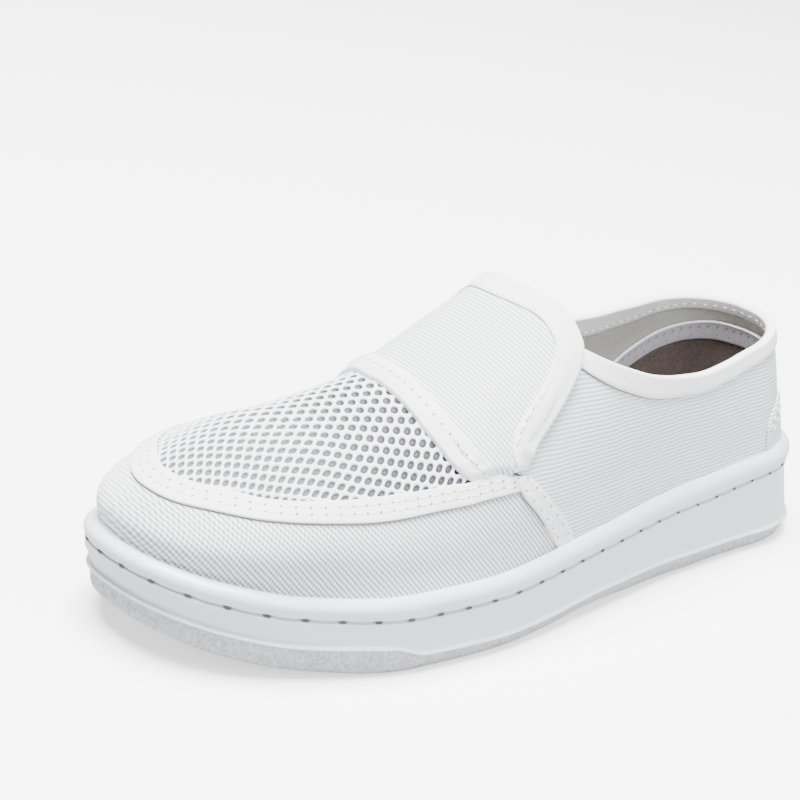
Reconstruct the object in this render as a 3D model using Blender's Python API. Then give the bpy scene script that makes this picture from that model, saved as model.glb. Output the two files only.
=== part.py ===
# Anti-static mesh work shoe, left foot, about EU 41: a slip-on with an instep flap.
# Sizes are in millimetres and become metres when a mesh is made.
# +X is the outer (lateral) side, -Y the toe, +Z up, and the ground is z = 0.
# A station is the share of the length from the heel (0) to the toe (1).

import bpy
import bmesh
import numpy as np

MM = 0.001
GAP = 0.3                # clearance between touching pieces

# Driving sizes
LENGTH = 276.0           # sole, heel to toe
HEEL_ROUND = 0.135       # share of the length taken by the round of the heel
HEEL_POWER = 2.18
TOE_ROUND = 0.24         # share of the length taken by the round of the toe
TOE_POWER = 2.42
BEAD_INSET = 0.3         # widest part of the rim, in from the sole's outline
CUP_DEPTH = 8.0          # from the top of the rim to the floor inside the sole
UPPER_INSET = 5.4        # foot of the upper, in from the sole's widest outline
WALL = 1.8               # canvas and lining together
INSOLE_THICKNESS = 3.5
TAPE = 0.8               # tapes, bindings and the heel stay
FLAP_THICKNESS = 2.0
FLAP_STAND = 2.4         # how far the flap's free part stands off the upper
COLLAR_BINDING_WIDTH = 7.3
FLAP_BINDING_WIDTH = 7.5
FLAP_HEM_WIDTH = 8.0
GROOVE_WIDTH = 1.8
GROOVE_DEPTH = 2.0

# How finely the curved surfaces are divided
EDGE_SPANS = 36          # from heel to toe along one side
RISE_SPANS = 10          # from the sole up to the collar or crest
NUDGE = 0.004            # step used to find a surface's direction
FINE_STEPS = 801         # points that measure the length of the sole's edge
REACH_STEPS = 241        # points tried up a rib to find a height
LINE_STEPS = 60          # points tried along a groove to trim it at the border
RIB_CLEAR = 0.2          # share of a span that a piece's end keeps from the nearest rib
WELD = 0.00001           # metres
SHARP_ANGLE = 0.6        # radians between faces before an edge is drawn sharp


def table(columns, rows):
    return {name: np.array([row[i] for row in rows], float) for i, name in enumerate(columns)}


# Sole outline: half widths each side of an axis that bends inwards at the toe
OUTLINE = table(("station", "lateral", "medial", "axis"), (
    (0.00, 36.7, 36.0, -0.1),
    (0.12, 36.9, 36.5, -0.7),
    (0.28, 38.4, 34.5, 1.1),
    (0.45, 44.7, 34.0, 1.2),
    (0.62, 51.1, 44.0, 1.2),
    (0.75, 52.6, 49.0, -1.7),
    (0.88, 46.4, 47.2, -4.4),
    (1.00, 43.3, 41.4, -8.5),
))

# Side of the sole: heights, and how far its lower and upper parts stand out past the outline
SIDE = table(("station", "bottom", "step", "stitch", "rim", "low_out", "high_out"), (
    (0.00, 0.0, 5.4, 28.2, 34.6, 2.3, -1.9),
    (0.12, 0.0, 5.6, 26.4, 33.6, 1.0, -0.8),
    (0.25, 0.0, 5.8, 24.4, 32.4, 0.0, 0.0),
    (0.36, 0.6, 6.4, 22.8, 30.4, 0.0, 0.0),
    (0.45, 1.6, 6.4, 21.2, 28.4, 0.0, 0.0),
    (0.55, 0.5, 5.2, 19.4, 26.4, 0.0, 0.0),
    (0.62, 0.0, 4.7, 18.1, 25.0, 0.0, 0.0),
    (0.68, 0.0, 4.9, 17.6, 24.4, 0.0, 0.0),
    (0.74, 0.0, 5.2, 17.5, 24.3, 0.0, 0.0),
    (0.785, 0.2, 8.6, 17.8, 24.4, 0.0, 0.2),
    (0.88, 2.3, 10.2, 19.7, 25.8, 0.0, 1.0),
    (0.95, 5.7, 13.5, 22.9, 28.9, 0.0, 1.6),
    (1.00, 9.8, 17.0, 26.4, 31.8, 0.0, 2.0),
))

# Last: where each rib from the sole's edge meets the crest, how full it is and how far it bulges
RIB = table(("station", "crest_station", "fullness", "bulge"), (
    (0.00, 0.160, 1.40, 1.0),
    (0.15, 0.210, 1.45, 1.0),
    (0.30, 0.315, 2.00, 0.5),
    (0.50, 0.500, 2.45, 0.0),
    (0.60, 0.595, 2.45, 0.0),
    (0.72, 0.700, 2.25, 0.5),
    (0.80, 0.750, 2.35, 1.8),
    (0.88, 0.790, 2.85, 4.2),
    (0.95, 0.820, 2.85, 5.6),
    (1.00, 0.840, 2.85, 5.8),
))
BULGE_LOW = 5            # higher keeps the bulge nearer the sole

# Crest of the last; behind the throat it only shapes the walls below the collar
CREST = table(("station", "height", "x"), (
    (0.15, 132.0, 0.0),
    (0.35, 114.0, 0.0),
    (0.48, 95.5, -1.0),
    (0.55, 83.5, -2.0),
    (0.62, 73.6, -3.0),
    (0.70, 66.6, -4.0),
    (0.77, 62.1, -5.0),
    (0.84, 58.6, -6.5),
    (1.00, 48.0, -8.5),
))

# Collar seen from the side; past the throat it runs clear of the crest
COLLAR = table(("station", "lateral", "medial"), (
    (0.00, 77.0, 77.0),
    (0.08, 73.5, 74.5),
    (0.14, 70.3, 73.0),
    (0.20, 67.8, 71.5),
    (0.26, 67.0, 70.2),
    (0.31, 67.9, 70.2),
    (0.36, 70.3, 72.0),
    (0.41, 74.7, 76.0),
    (0.46, 80.1, 80.6),
    (0.50, 86.0, 86.0),
    (0.53, 93.0, 93.0),
    (0.58, 130.0, 130.0),
))


def smooth(grid, column, at):
    # Monotone cubic over a table's first column, held level past its ends
    xs, ys = next(iter(grid.values())), grid[column]
    step = np.diff(xs)
    slope = np.diff(ys) / step
    tangent = np.concatenate([slope[:1], np.zeros(len(xs) - 2), slope[-1:]])
    same = slope[:-1] * slope[1:] > 0
    before, after = slope[:-1][same], slope[1:][same]
    tangent[1:-1][same] = 2 * before * after / (before + after)
    at = np.clip(np.asarray(at, float), xs[0], xs[-1])
    i = np.clip(np.searchsorted(xs, at, side="right") - 1, 0, len(step) - 1)
    t = (at - xs[i]) / step[i]
    rise = 3 * t**2 - 2 * t**3
    swing = tangent[i] * (t - 2 * t**2 + t**3) + tangent[i + 1] * (t**3 - t**2)
    return ys[i] + (ys[i + 1] - ys[i]) * rise + step[i] * swing


def ease(t):
    t = np.clip(t, 0.0, 1.0)
    return t * t * (3 - 2 * t)


def side_point(station, side):
    # A point of the sole's widest outline, before it is centred
    heel = np.clip(1 - station / HEEL_ROUND, 0, 1)
    toe = np.clip((station - 1 + TOE_ROUND) / TOE_ROUND, 0, 1)
    ends = (1 - heel**HEEL_POWER) ** (1 / HEEL_POWER) * (1 - toe**TOE_POWER) ** (1 / TOE_POWER)
    half = np.where(side > 0, smooth(OUTLINE, "lateral", station), smooth(OUTLINE, "medial", station))
    x = smooth(OUTLINE, "axis", station) + side * half * ends
    return np.stack([x, LENGTH * (0.5 - station)], -1)


# Stations that are evenly spaced along the edge, the same on both sides
FINE = (1 - np.cos(np.linspace(0, np.pi, FINE_STEPS))) / 2
FINE_EDGES = [side_point(FINE, np.full(FINE.shape, side)) for side in (1.0, -1.0)]
RUN = sum(np.linalg.norm(np.diff(edge, axis=0), axis=1) for edge in FINE_EDGES)
RUN = np.concatenate([[0.0], np.cumsum(RUN)]) / RUN.sum()
ALL_EDGES = np.concatenate(FINE_EDGES)
CENTRE_X = (ALL_EDGES[:, 0].max() + ALL_EDGES[:, 0].min()) / 2
CENTRE_Y = (SIDE["low_out"][0] - SIDE["high_out"][-1] + BEAD_INSET) / 2


def station_of(along):
    return np.interp(along, RUN, FINE)


def along_of(station):
    return np.interp(station, FINE, RUN)


def unfold(along, side):
    # Carry on round the tip of the heel or toe to the other side
    past = (along > 1) | (along < 0)
    along = np.where(along > 1, 2 - along, np.abs(along))
    return along, np.where(past, -side, side)


def outline_point(along, side):
    along, side = unfold(along, side)
    point = side_point(station_of(along), side)
    return point - np.array([CENTRE_X, CENTRE_Y])


def edge_point(along, side, inset):
    # A point of the outline, moved in by an inset square to the edge
    along = np.asarray(along, float)
    side = np.asarray(side, float) + np.zeros_like(along)
    inset = np.asarray(inset, float) + np.zeros_like(along)
    run = outline_point(along + NUDGE, side) - outline_point(along - NUDGE, side)
    out = np.stack([-run[..., 1], run[..., 0]], -1) * side[..., None]
    out /= np.linalg.norm(out, axis=-1, keepdims=True)
    return outline_point(along, side) - out * inset[..., None]


def y_of(station):
    return LENGTH * (0.5 - station) - CENTRE_Y


def station_at(y):
    return 0.5 - (y + CENTRE_Y) / LENGTH


def rim_edge(along, side, inset):
    # The same at the height of the rim, where the toe stands out
    return edge_point(along, side, inset - smooth(SIDE, "high_out", station_of(along)))


def cup_floor(station):
    return smooth(SIDE, "rim", station) - CUP_DEPTH


def bare_last(along, across):
    # across runs from -1 (medial sole edge) over the crest (0) to 1 (lateral sole edge)
    along, across = unfold(along, across)
    side = np.where(across < 0, -1.0, 1.0)
    angle = (1 - np.clip(np.abs(across), 0, 1)) * np.pi / 2
    station = station_of(along)
    crest_station = smooth(RIB, "crest_station", station)
    power = 2 / smooth(RIB, "fullness", station)
    lean = 1 - np.clip(np.cos(angle), 0, 1) ** power
    low = cup_floor(station) + GAP
    rim_share = (CUP_DEPTH + GAP) / (smooth(CREST, "height", station) - low)
    rim_angle = np.arcsin(rim_share ** (1 / power))
    above = np.clip((angle - rim_angle) / (np.pi / 2 - rim_angle), 0, 1) * np.pi / 2
    peak = BULGE_LOW ** (BULGE_LOW / 2) / (1 + BULGE_LOW) ** ((1 + BULGE_LOW) / 2)
    swell = smooth(RIB, "bulge", station) * np.sin(above) * np.cos(above) ** BULGE_LOW / peak
    foot = rim_edge(along, side, UPPER_INSET - swell)
    crest_x = smooth(CREST, "x", crest_station) - CENTRE_X
    x = foot[..., 0] + (crest_x - foot[..., 0]) * lean
    y = foot[..., 1] + (y_of(crest_station) - foot[..., 1]) * lean
    z = low + (smooth(CREST, "height", station_at(y)) - low) * np.sin(angle) ** power
    return np.stack([x, y, z], -1)


def directions(along, across):
    lower, higher = (np.clip(across + step, -1, 1) for step in (NUDGE, -NUDGE))
    down = bare_last(along, lower) - bare_last(along, higher)
    ahead = bare_last(along + NUDGE, across) - bare_last(along - NUDGE, across)
    out = np.cross(ahead, down)
    return ahead, down, out / np.linalg.norm(out, axis=-1, keepdims=True)


def last_point(along, across, lift=0.0):
    along, across, lift = np.broadcast_arrays(*(np.asarray(a, float) for a in (along, across, lift)))
    return bare_last(along, across) + directions(along, across)[2] * lift[..., None]


def across_at(along, side, height):
    # Where the rib at a place on the edge reaches a height: 0 if it meets the crest below it
    reach = np.linspace(1, 0, REACH_STEPS)
    rib = bare_last(np.full(reach.shape, along), reach * side)
    over = rib[:, 2] - height(station_at(rib[:, 1]))
    if over.max() <= 0:
        return 0.0
    i = int(np.argmax(over > 0))
    return reach[i] + (reach[i - 1] - reach[i]) * over[i] / (over[i] - over[i - 1])


def collar_across(along, side):
    side_name = "lateral" if side > 0 else "medial"
    return across_at(along, side, lambda station: smooth(COLLAR, side_name, station))


def rim_across(along, side):
    # Just clear of the sole's rim
    return across_at(along, side, lambda station: smooth(SIDE, "rim", station) + GAP)


def ribs_between(first, last):
    # Places along the edge: the upper's own ribs between two ends, with the ends themselves.
    # Below 0 and above 1 they carry on round the heel and the toe.
    ribs = np.arange(-EDGE_SPANS, 2 * EDGE_SPANS + 1) / EDGE_SPANS
    clear = RIB_CLEAR / EDGE_SPANS
    inside = ribs[(ribs > first + clear) & (ribs < last - clear)]
    return np.concatenate([[first], inside, [last]])


def edge_loop():
    # Once round the shoe: heel, lateral side, toe, medial side
    half = np.linspace(0, 1, EDGE_SPANS + 1)
    along = np.concatenate([half, half[-2:0:-1]])
    side = np.concatenate([np.ones(EDGE_SPANS + 1), -np.ones(EDGE_SPANS - 1)])
    return along, side


def paint(name, colour, roughness):
    material = bpy.data.materials.new(name)
    material.use_nodes = True
    shader = material.node_tree.nodes["Principled BSDF"]
    linear = [((c / 255 + 0.055) / 1.055) ** 2.4 for c in colour]
    shader.inputs["Base Color"].default_value = (*linear, 1.0)
    shader.inputs["Roughness"].default_value = roughness
    shader.inputs["Metallic"].default_value = 0.0
    return material


def place(name, bm, material):
    bmesh.ops.remove_doubles(bm, verts=bm.verts, dist=WELD)
    bmesh.ops.recalc_face_normals(bm, faces=bm.faces)
    mesh = bpy.data.meshes.new(name)
    bm.to_mesh(mesh)
    bm.free()
    mesh.shade_smooth()
    mesh.set_sharp_from_angle(angle=SHARP_ANGLE)
    mesh.materials.append(material)
    part = bpy.data.objects.new(name, mesh)
    bpy.context.scene.collection.objects.link(part)
    return part


def add_points(bm, points):
    return [bm.verts.new(point) for point in np.asarray(points) * MM]


def add_band(bm, first, second):
    # A closed band of faces between two loops of points
    for i in range(len(first)):
        j = (i + 1) % len(first)
        bm.faces.new((first[i], first[j], second[j], second[i]))


def add_ladder(bm, loop):
    # Close a loop round the shoe with faces from its lateral to its medial side
    count = len(loop)
    for i in range(count // 2):
        corners = [loop[i], loop[i + 1], loop[(count - i - 1) % count], loop[(count - i) % count]]
        bm.faces.new(list(dict.fromkeys(corners)))


def stack_of_rings(name, rings, material):
    # A solid from rings round the sole, each set from a line on its side by an inset and a rise
    along, side = edge_loop()
    station = station_of(along)
    bm = bmesh.new()
    loops = []
    for line, inset, rise in rings:
        out = smooth(SIDE, "low_out" if line in LOW_LINES else "high_out", station)
        height = smooth(SIDE, line, station) + rise
        loops.append(add_points(bm, np.column_stack([edge_point(along, side, inset - out), height])))
    for lower, upper in zip(loops, loops[1:]):
        add_band(bm, lower, upper)
    add_ladder(bm, loops[0])
    add_ladder(bm, loops[-1])
    return place(name, bm, material)


def sheet(name, under, over, material):
    # A closed solid between two grids of points
    bm = bmesh.new()
    rows, columns = under.shape[:2]
    layers = []
    for grid in (under, over):
        layers.append([add_points(bm, row) for row in grid])
        for i in range(rows - 1):
            for j in range(columns - 1):
                a, b = layers[-1][i][j:j + 2]
                d, c = layers[-1][i + 1][j:j + 2]
                bm.faces.new((a, b, c, d))
    low, high = layers
    rim = [(0, j) for j in range(columns)] + [(i, columns - 1) for i in range(1, rows)]
    rim += [(rows - 1, j) for j in range(columns - 2, -1, -1)] + [(i, 0) for i in range(rows - 2, 0, -1)]
    add_band(bm, [low[i][j] for i, j in rim], [high[i][j] for i, j in rim])
    return place(name, bm, material)


def tube(name, sections, material):
    # A solid swept through closed sections, with flat ends
    bm = bmesh.new()
    loops = [add_points(bm, section) for section in sections]
    for first, second in zip(loops, loops[1:]):
        add_band(bm, first, second)
    bm.faces.new(loops[0])
    bm.faces.new(loops[-1])
    return place(name, bm, material)


# Sole: rings up its side, as the line each is set from, an inset and a rise

LOW_LINES = ("bottom", "step")
OUTSOLE_RINGS = (
    ("bottom", 4.6, 0.0),
    ("bottom", 2.4, 0.7),
    ("bottom", 1.4, 2.2),
    ("step", 1.1, -GAP / 2),
)
MIDSOLE_RINGS = (
    ("step", 0.9, GAP / 2),
    ("step", 0.0, 0.6),
    ("step", 0.0, 1.4),
    ("step", 0.7, 2.1),
    ("stitch", 0.5, -1.1),
    ("stitch", 1.6, 0.0),
    ("stitch", 0.5, 1.0),
    ("stitch", BEAD_INSET, 3.1),
    ("rim", 1.0, -1.7),
    ("rim", 2.4, -0.2),
    ("rim", 3.6, 0.0),
    ("rim", 4.7, -0.9),
    ("rim", UPPER_INSET - GAP, -2.2),
    ("rim", UPPER_INSET - GAP, -CUP_DEPTH),
)
INSOLE_EDGE = UPPER_INSET + WALL + GAP
INSOLE_RINGS = (
    ("rim", INSOLE_EDGE, GAP - CUP_DEPTH),
    ("rim", INSOLE_EDGE, GAP - CUP_DEPTH + INSOLE_THICKNESS - 1.0),
    ("rim", INSOLE_EDGE + 1.2, GAP - CUP_DEPTH + INSOLE_THICKNESS),
)


def groove(bm, points):
    # A cutter along a line on the bottom, with square ends
    points = np.asarray(points, float)
    run = np.gradient(points, axis=0)
    run /= np.linalg.norm(run, axis=1, keepdims=True)
    across = np.column_stack([run[:, 1], -run[:, 0]]) * GROOVE_WIDTH / 2
    floor = smooth(SIDE, "bottom", station_at(points[:, 1]))
    corners = []
    for edge, height in ((1, -GROOVE_DEPTH), (-1, -GROOVE_DEPTH), (-1, GROOVE_DEPTH), (1, GROOVE_DEPTH)):
        corners.append(np.column_stack([points + edge * across, floor + height]))
    loops = [add_points(bm, loop) for loop in zip(*corners)]
    for first, second in zip(loops, loops[1:]):
        add_band(bm, first, second)
    bm.faces.new(loops[0])
    bm.faces.new(loops[-1])


# Wavy groove down the middle of the tread, and the edge of the block inside it
SPINE = table(("station", "x"), (
    (0.11, 2.0), (0.20, -4.0), (0.30, -6.0), (0.40, -3.0), (0.47, -12.0), (0.52, -2.0), (0.57, 14.0),
    (0.64, 24.0), (0.72, 20.0), (0.80, 11.0), (0.87, 3.0), (0.93, -6.0),
))
BLOCK_EDGE = table(("station", "x"), (
    (0.595, -28.0), (0.62, -19.0), (0.66, -12.5), (0.70, -14.5), (0.78, -22.0), (0.83, -24.0),
))

# Straight grooves: the station where each leaves the spine, its slant and its reach
LATERAL_GROOVES = table(("station", "slant", "skip", "reach"), (
    (0.135, 0.20, 3.0, 24.0),
    (0.205, 0.22, 3.0, 30.0),
    (0.275, 0.24, 3.0, 32.0),
    (0.345, 0.10, 3.0, 30.0),
    (0.425, -0.50, 3.0, 25.0),
    (0.500, -0.80, 3.0, 22.0),
    (0.545, 0.75, 1.0, 26.0),
    (0.600, -0.15, 0.0, 22.0),
    (0.632, 0.00, 7.0, 20.0),
    (0.665, 0.05, 0.0, 24.0),
    (0.696, 0.10, 8.0, 28.0),
    (0.727, 0.17, 0.0, 27.0),
    (0.756, 0.22, 9.0, 30.0),
    (0.786, 0.22, 0.0, 30.0),
    (0.822, 0.70, 0.0, 26.0),
    (0.862, 0.70, 0.0, 25.0),
    (0.900, 0.65, 0.0, 20.0),
))
MEDIAL_GROOVES = table(("station", "slant", "skip", "reach"), (
    (0.125, -0.35, 4.0, 24.0),
    (0.200, -0.35, 4.0, 24.0),
    (0.275, 0.05, 3.0, 22.0),
    (0.320, -0.30, 3.0, 21.0),
    (0.365, -0.40, 6.0, 20.0),
    (0.430, -0.60, 3.0, 20.0),
    (0.490, -0.60, 4.0, 16.0),
    (0.547, 0.59, 0.0, 27.0),
    (0.620, 0.11, 0.0, 38.0),
    (0.681, 0.03, 0.0, 36.0),
    (0.739, -0.07, 0.0, 35.0),
    (0.790, -0.13, 0.0, 34.0),
    (0.845, 0.06, 0.0, 40.0),
    (0.905, 0.34, 0.0, 26.0),
))

# Short grooves that run in from the medial edge
EDGE_GROOVES = table(("station", "x", "end_station", "end_x"), (
    (0.572, -12.0, 0.530, -30.0),
    (0.699, -16.0, 0.660, -44.0),
    (0.750, -21.0, 0.756, -46.0),
))
SPINE_STEPS = 40
BLOCK_STEPS = 10
BORDER_INSET = 6.5       # grooves end this far in from the sole's widest outline


def within(points):
    # The part of a line that stays inside the tread's border
    along = along_of(station_at(points[:, 1]))
    outer = edge_point(along, 1.0, BORDER_INSET)[:, 0]
    inner = edge_point(along, -1.0, BORDER_INSET)[:, 0]
    return points[(points[:, 0] < outer) & (points[:, 0] > inner)]


def tread_lines():
    lines = []
    for curve, count in ((SPINE, SPINE_STEPS), (BLOCK_EDGE, BLOCK_STEPS)):
        station = np.linspace(curve["station"][0], curve["station"][-1], count)
        lines.append(np.column_stack([smooth(curve, "x", station), y_of(station)]))
    for rows, side in ((LATERAL_GROOVES, 1), (MEDIAL_GROOVES, -1)):
        for station, slant, skip, reach in zip(*rows.values()):
            out = np.linspace(skip, reach, LINE_STEPS)
            x = smooth(SPINE, "x", station) + side * out
            lines.append(within(np.column_stack([x, y_of(station) - slant * out]))[[0, -1]])
    for station, x, end_station, end_x in zip(*EDGE_GROOVES.values()):
        share = np.linspace(0, 1, LINE_STEPS)
        y = y_of(station + (end_station - station) * share)
        lines.append(within(np.column_stack([x + (end_x - x) * share, y]))[[0, -1]])
    return lines


def make_outsole(material):
    outsole = stack_of_rings("outsole", OUTSOLE_RINGS, material)
    cutter_mesh = bmesh.new()
    for line in tread_lines():
        groove(cutter_mesh, line)
    cutter = place("tread_cutter", cutter_mesh, material)
    cutter.hide_render = True
    cutter.display_type = "WIRE"
    cut = outsole.modifiers.new("tread", "BOOLEAN")
    cut.operation = "DIFFERENCE"
    cut.solver = "EXACT"
    cut.use_self = True
    cut.object = cutter
    return outsole


# Upper and what is sewn on it

def make_upper(material):
    along, side = edge_loop()
    bm = bmesh.new()
    ribs = []
    for a, s in zip(along, side):
        above_rim = np.linspace(rim_across(a, s), collar_across(a, s), RISE_SPANS)
        across = s * np.concatenate([[1.0], above_rim])
        ribs.append(add_points(bm, bare_last(np.full(across.shape, a), across)))
    for i, rib in enumerate(ribs):
        after = ribs[(i + 1) % len(ribs)]
        for k in range(RISE_SPANS):
            bm.faces.new((rib[k], after[k], after[k + 1], rib[k + 1]))
    upper = place("upper", bm, material)
    wall = upper.modifiers.new("wall", "SOLIDIFY")
    wall.thickness = WALL * MM
    wall.offset = -1.0
    wall.use_even_offset = True
    return upper


def shift_on_last(along, across, forward, outward):
    # Move a place on the last by lengths measured along the surface
    ahead, down, _ = directions(along, across)
    per_along = np.linalg.norm(ahead, axis=-1) / (2 * NUDGE)
    per_across = np.linalg.norm(down, axis=-1) / (2 * NUDGE)
    return along + forward / per_along, across + outward / per_across


COLLAR_FRONT = 0.505     # the collar's binding ends here, under the flap
FOLD_ROUND = 0.7         # how far in from the binding's faces its fold begins
FOLD_RISE = 0.2          # height of the fold's shoulders over the edge of the cloth


def make_collar_binding(material):
    half = np.floor(along_of(COLLAR_FRONT) * EDGE_SPANS) / EDGE_SPANS
    places = [(abs(a), 1.0 if a >= 0 else -1.0) for a in ribs_between(-half, half)]
    outer, inner = GAP + TAPE, -(WALL + GAP + TAPE)
    sections = []
    for along, side in places:
        edge = collar_across(along, side)
        along, across = np.array([along]), np.array([edge * side])
        down = directions(along, across)[1][0] * side
        up = -down / np.linalg.norm(down)
        low, middle = (
            shift_on_last(along, across, 0.0, width * side)[1]
            for width in (COLLAR_BINDING_WIDTH, COLLAR_BINDING_WIDTH / 2)
        )
        section = []
        for place_across, lift, rise in (
            (low, outer, 0.0), (middle, outer, 0.0), (across, outer, FOLD_RISE),
            (across, outer - FOLD_ROUND, GAP + TAPE), (across, inner + FOLD_ROUND, GAP + TAPE),
            (across, inner, FOLD_RISE), (middle, inner, 0.0), (low, inner, 0.0),
            (low, inner + TAPE, 0.0), (middle, inner + TAPE, 0.0), (across, inner + TAPE, GAP),
            (across, outer - TAPE, GAP), (middle, outer - TAPE, 0.0), (low, outer - TAPE, 0.0),
        ):
            section.append(last_point(along, place_across, lift)[0] + up * rise)
        sections.append(section)
    return tube("collar_binding", sections, material)


# Flap over the instep: its front and rear edges, from the medial low end (-1) to the lateral (1)
FLAP = table(("reach", "front", "rear"), (
    (-1.00, 0.640, 0.604),
    (-0.94, 0.643, 0.582),
    (-0.82, 0.648, 0.524),
    (-0.73, 0.651, 0.496),
    (-0.62, 0.655, 0.484),
    (-0.45, 0.661, 0.482),
    (0.00, 0.687, 0.493),
    (0.45, 0.692, 0.482),
    (0.62, 0.688, 0.484),
    (0.73, 0.684, 0.496),
    (0.82, 0.678, 0.524),
    (0.94, 0.664, 0.582),
    (1.00, 0.655, 0.604),
))
FLAP_COLUMNS = np.linspace(-1, 1, 33)
FLAP_ROWS = 10
FLAP_BINDING_END = 0.91  # the binding stops short of the low ends
FLAP_LOW_END = 0.62      # how far down the ribs the flap's ends reach (1 is the sole's edge)
FLAP_EASE = 0.13         # stations behind its front edge over which the flap lifts
HEM_ROWS = 3


def flap_edges(across):
    reach = across / FLAP_LOW_END
    return smooth(FLAP, "front", reach), smooth(FLAP, "rear", reach)


def flap_lift(along, across):
    # Sewn down at the front, then standing off over the collar
    behind = flap_edges(across)[0] - station_of(along)
    return GAP + FLAP_STAND * ease(behind / FLAP_EASE)


def flap_point(along, across, lift):
    return last_point(along, across, flap_lift(along, across) + lift)


def make_tongue(material):
    across = FLAP_LOW_END * FLAP_COLUMNS[None, :] + np.zeros((FLAP_ROWS, 1))
    front, rear = flap_edges(across)
    along = along_of(front + (rear - front) * np.linspace(0, 1, FLAP_ROWS)[:, None])
    under, over = (flap_point(along, across, lift) for lift in (0.0, FLAP_THICKNESS))
    return sheet("tongue", under, over, material)


def make_flap_hem(material):
    across = FLAP_LOW_END * FLAP_COLUMNS[None, :] + np.zeros((HEM_ROWS, 1))
    front = flap_edges(across)[0]
    along = along_of(front - FLAP_HEM_WIDTH / LENGTH * np.linspace(0, 1, HEM_ROWS)[:, None])
    low = FLAP_THICKNESS + GAP
    under, over = (flap_point(along, across, lift) for lift in (low, low + TAPE))
    return sheet("tongue_hem", under, over, material)


def make_flap_binding(material):
    across = FLAP_LOW_END * FLAP_COLUMNS[np.abs(FLAP_COLUMNS) < FLAP_BINDING_END]
    along = along_of(flap_edges(across)[1])
    edge = flap_point(along, across, FLAP_THICKNESS / 2)
    run = np.gradient(edge, axis=0)
    run /= np.linalg.norm(run, axis=1, keepdims=True)
    ahead, down, out = directions(along, across)
    inward = np.cross(run, out)
    ahead /= np.linalg.norm(ahead, axis=1, keepdims=True)
    down /= np.linalg.norm(down, axis=1, keepdims=True)
    mix = np.sum(ahead * down, axis=1)
    to_ahead, to_down = np.sum(inward * ahead, axis=1), np.sum(inward * down, axis=1)
    forward = (to_ahead - mix * to_down) / (1 - mix**2)
    outward = (to_down - mix * to_ahead) / (1 - mix**2)

    def at(width, lift):
        a, c = shift_on_last(along, across, forward * width, outward * width)
        return flap_point(a, c, lift)

    top, base, proud = FLAP_THICKNESS + GAP, -GAP, GAP + TAPE
    wide, half = FLAP_BINDING_WIDTH, FLAP_BINDING_WIDTH / 2
    loops = (
        at(wide, top + TAPE), at(half, top + TAPE), at(0.0, top + TAPE), at(-proud, FLAP_THICKNESS),
        at(-proud, 0.0), at(0.0, base - TAPE), at(half, base - TAPE), at(wide, base - TAPE),
        at(wide, base), at(half, base), at(-GAP, base), at(-GAP, top), at(half, top), at(wide, top),
    )
    return tube("tongue_binding", np.stack(loops, axis=1), material)


def make_overlay(name, along, across, material):
    return sheet(name, last_point(along, across, GAP), last_point(along, across, GAP + TAPE), material)


TAPE_COLUMNS = 4         # points across a tape
VAMP_TAPE_FROM = 0.618   # station where the tape's lateral and medial ends lie
VAMP_TAPE = table(("station", "lower", "upper"), (
    (0.60, 0.715, 0.648),
    (0.65, 0.672, 0.642),
    (0.67, 0.657, 0.602),
    (0.69, 0.648, 0.560),
    (0.72, 0.635, 0.543),
    (0.79, 0.613, 0.507),
    (0.85, 0.600, 0.494),
    (0.92, 0.545, 0.440),
    (0.98, 0.480, 0.355),
    (1.00, 0.470, 0.345),
))


def make_vamp_tape(material):
    half = along_of(VAMP_TAPE_FROM)
    along = ribs_between(half, 2 - half)[:, None] + np.zeros((1, TAPE_COLUMNS))
    station = station_of(np.where(along > 1, 2 - along, along))
    lower, upper = smooth(VAMP_TAPE, "lower", station), smooth(VAMP_TAPE, "upper", station)
    across = lower + (upper - lower) * np.linspace(0, 1, TAPE_COLUMNS)[None, :]
    return make_overlay("vamp_tape", along, across, material)


# Side tapes: their front and rear edges, from the sole's rim (0) up to the flap (1)
SIDE_TAPE = table(("rise", "front", "rear"), (
    (0.00, 0.531, 0.501),
    (0.15, 0.548, 0.516),
    (0.40, 0.573, 0.541),
    (0.72, 0.600, 0.568),
    (1.00, 0.613, 0.590),
))
SIDE_TAPE_TOP = 0.645    # across, just below the flap's low end
SIDE_TAPE_ROWS = 9


def make_side_tape(name, side, material):
    rise = np.linspace(0, 1, SIDE_TAPE_ROWS)[:, None]
    front, rear = smooth(SIDE_TAPE, "front", rise), smooth(SIDE_TAPE, "rear", rise)
    along = along_of(front + (rear - front) * np.linspace(0, 1, TAPE_COLUMNS)[None, :])
    low = np.array([rim_across(a, side) for a in along[0]])[None, :]
    across = side * (low + (SIDE_TAPE_TOP - low) * rise)
    return make_overlay(name, along, across, material)


HEEL_STAY_HALF = 0.157   # half width at the sole, as a share of the edge from heel to toe
HEEL_STAY_HEIGHT = 17.5  # above the rim, at the back
HEEL_STAY_POWER = 3.0    # higher squares its round top
HEEL_STAY_FLARE = 3.0    # thicker by this much at its foot, over the heel's stiffener
HEEL_STAY_FADE = 1.3     # higher keeps the flare nearer the sole
HEEL_STAY_END = 0.985    # share of the half width where its rounded ends are cut
HEEL_STAY_ROWS = 6


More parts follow.
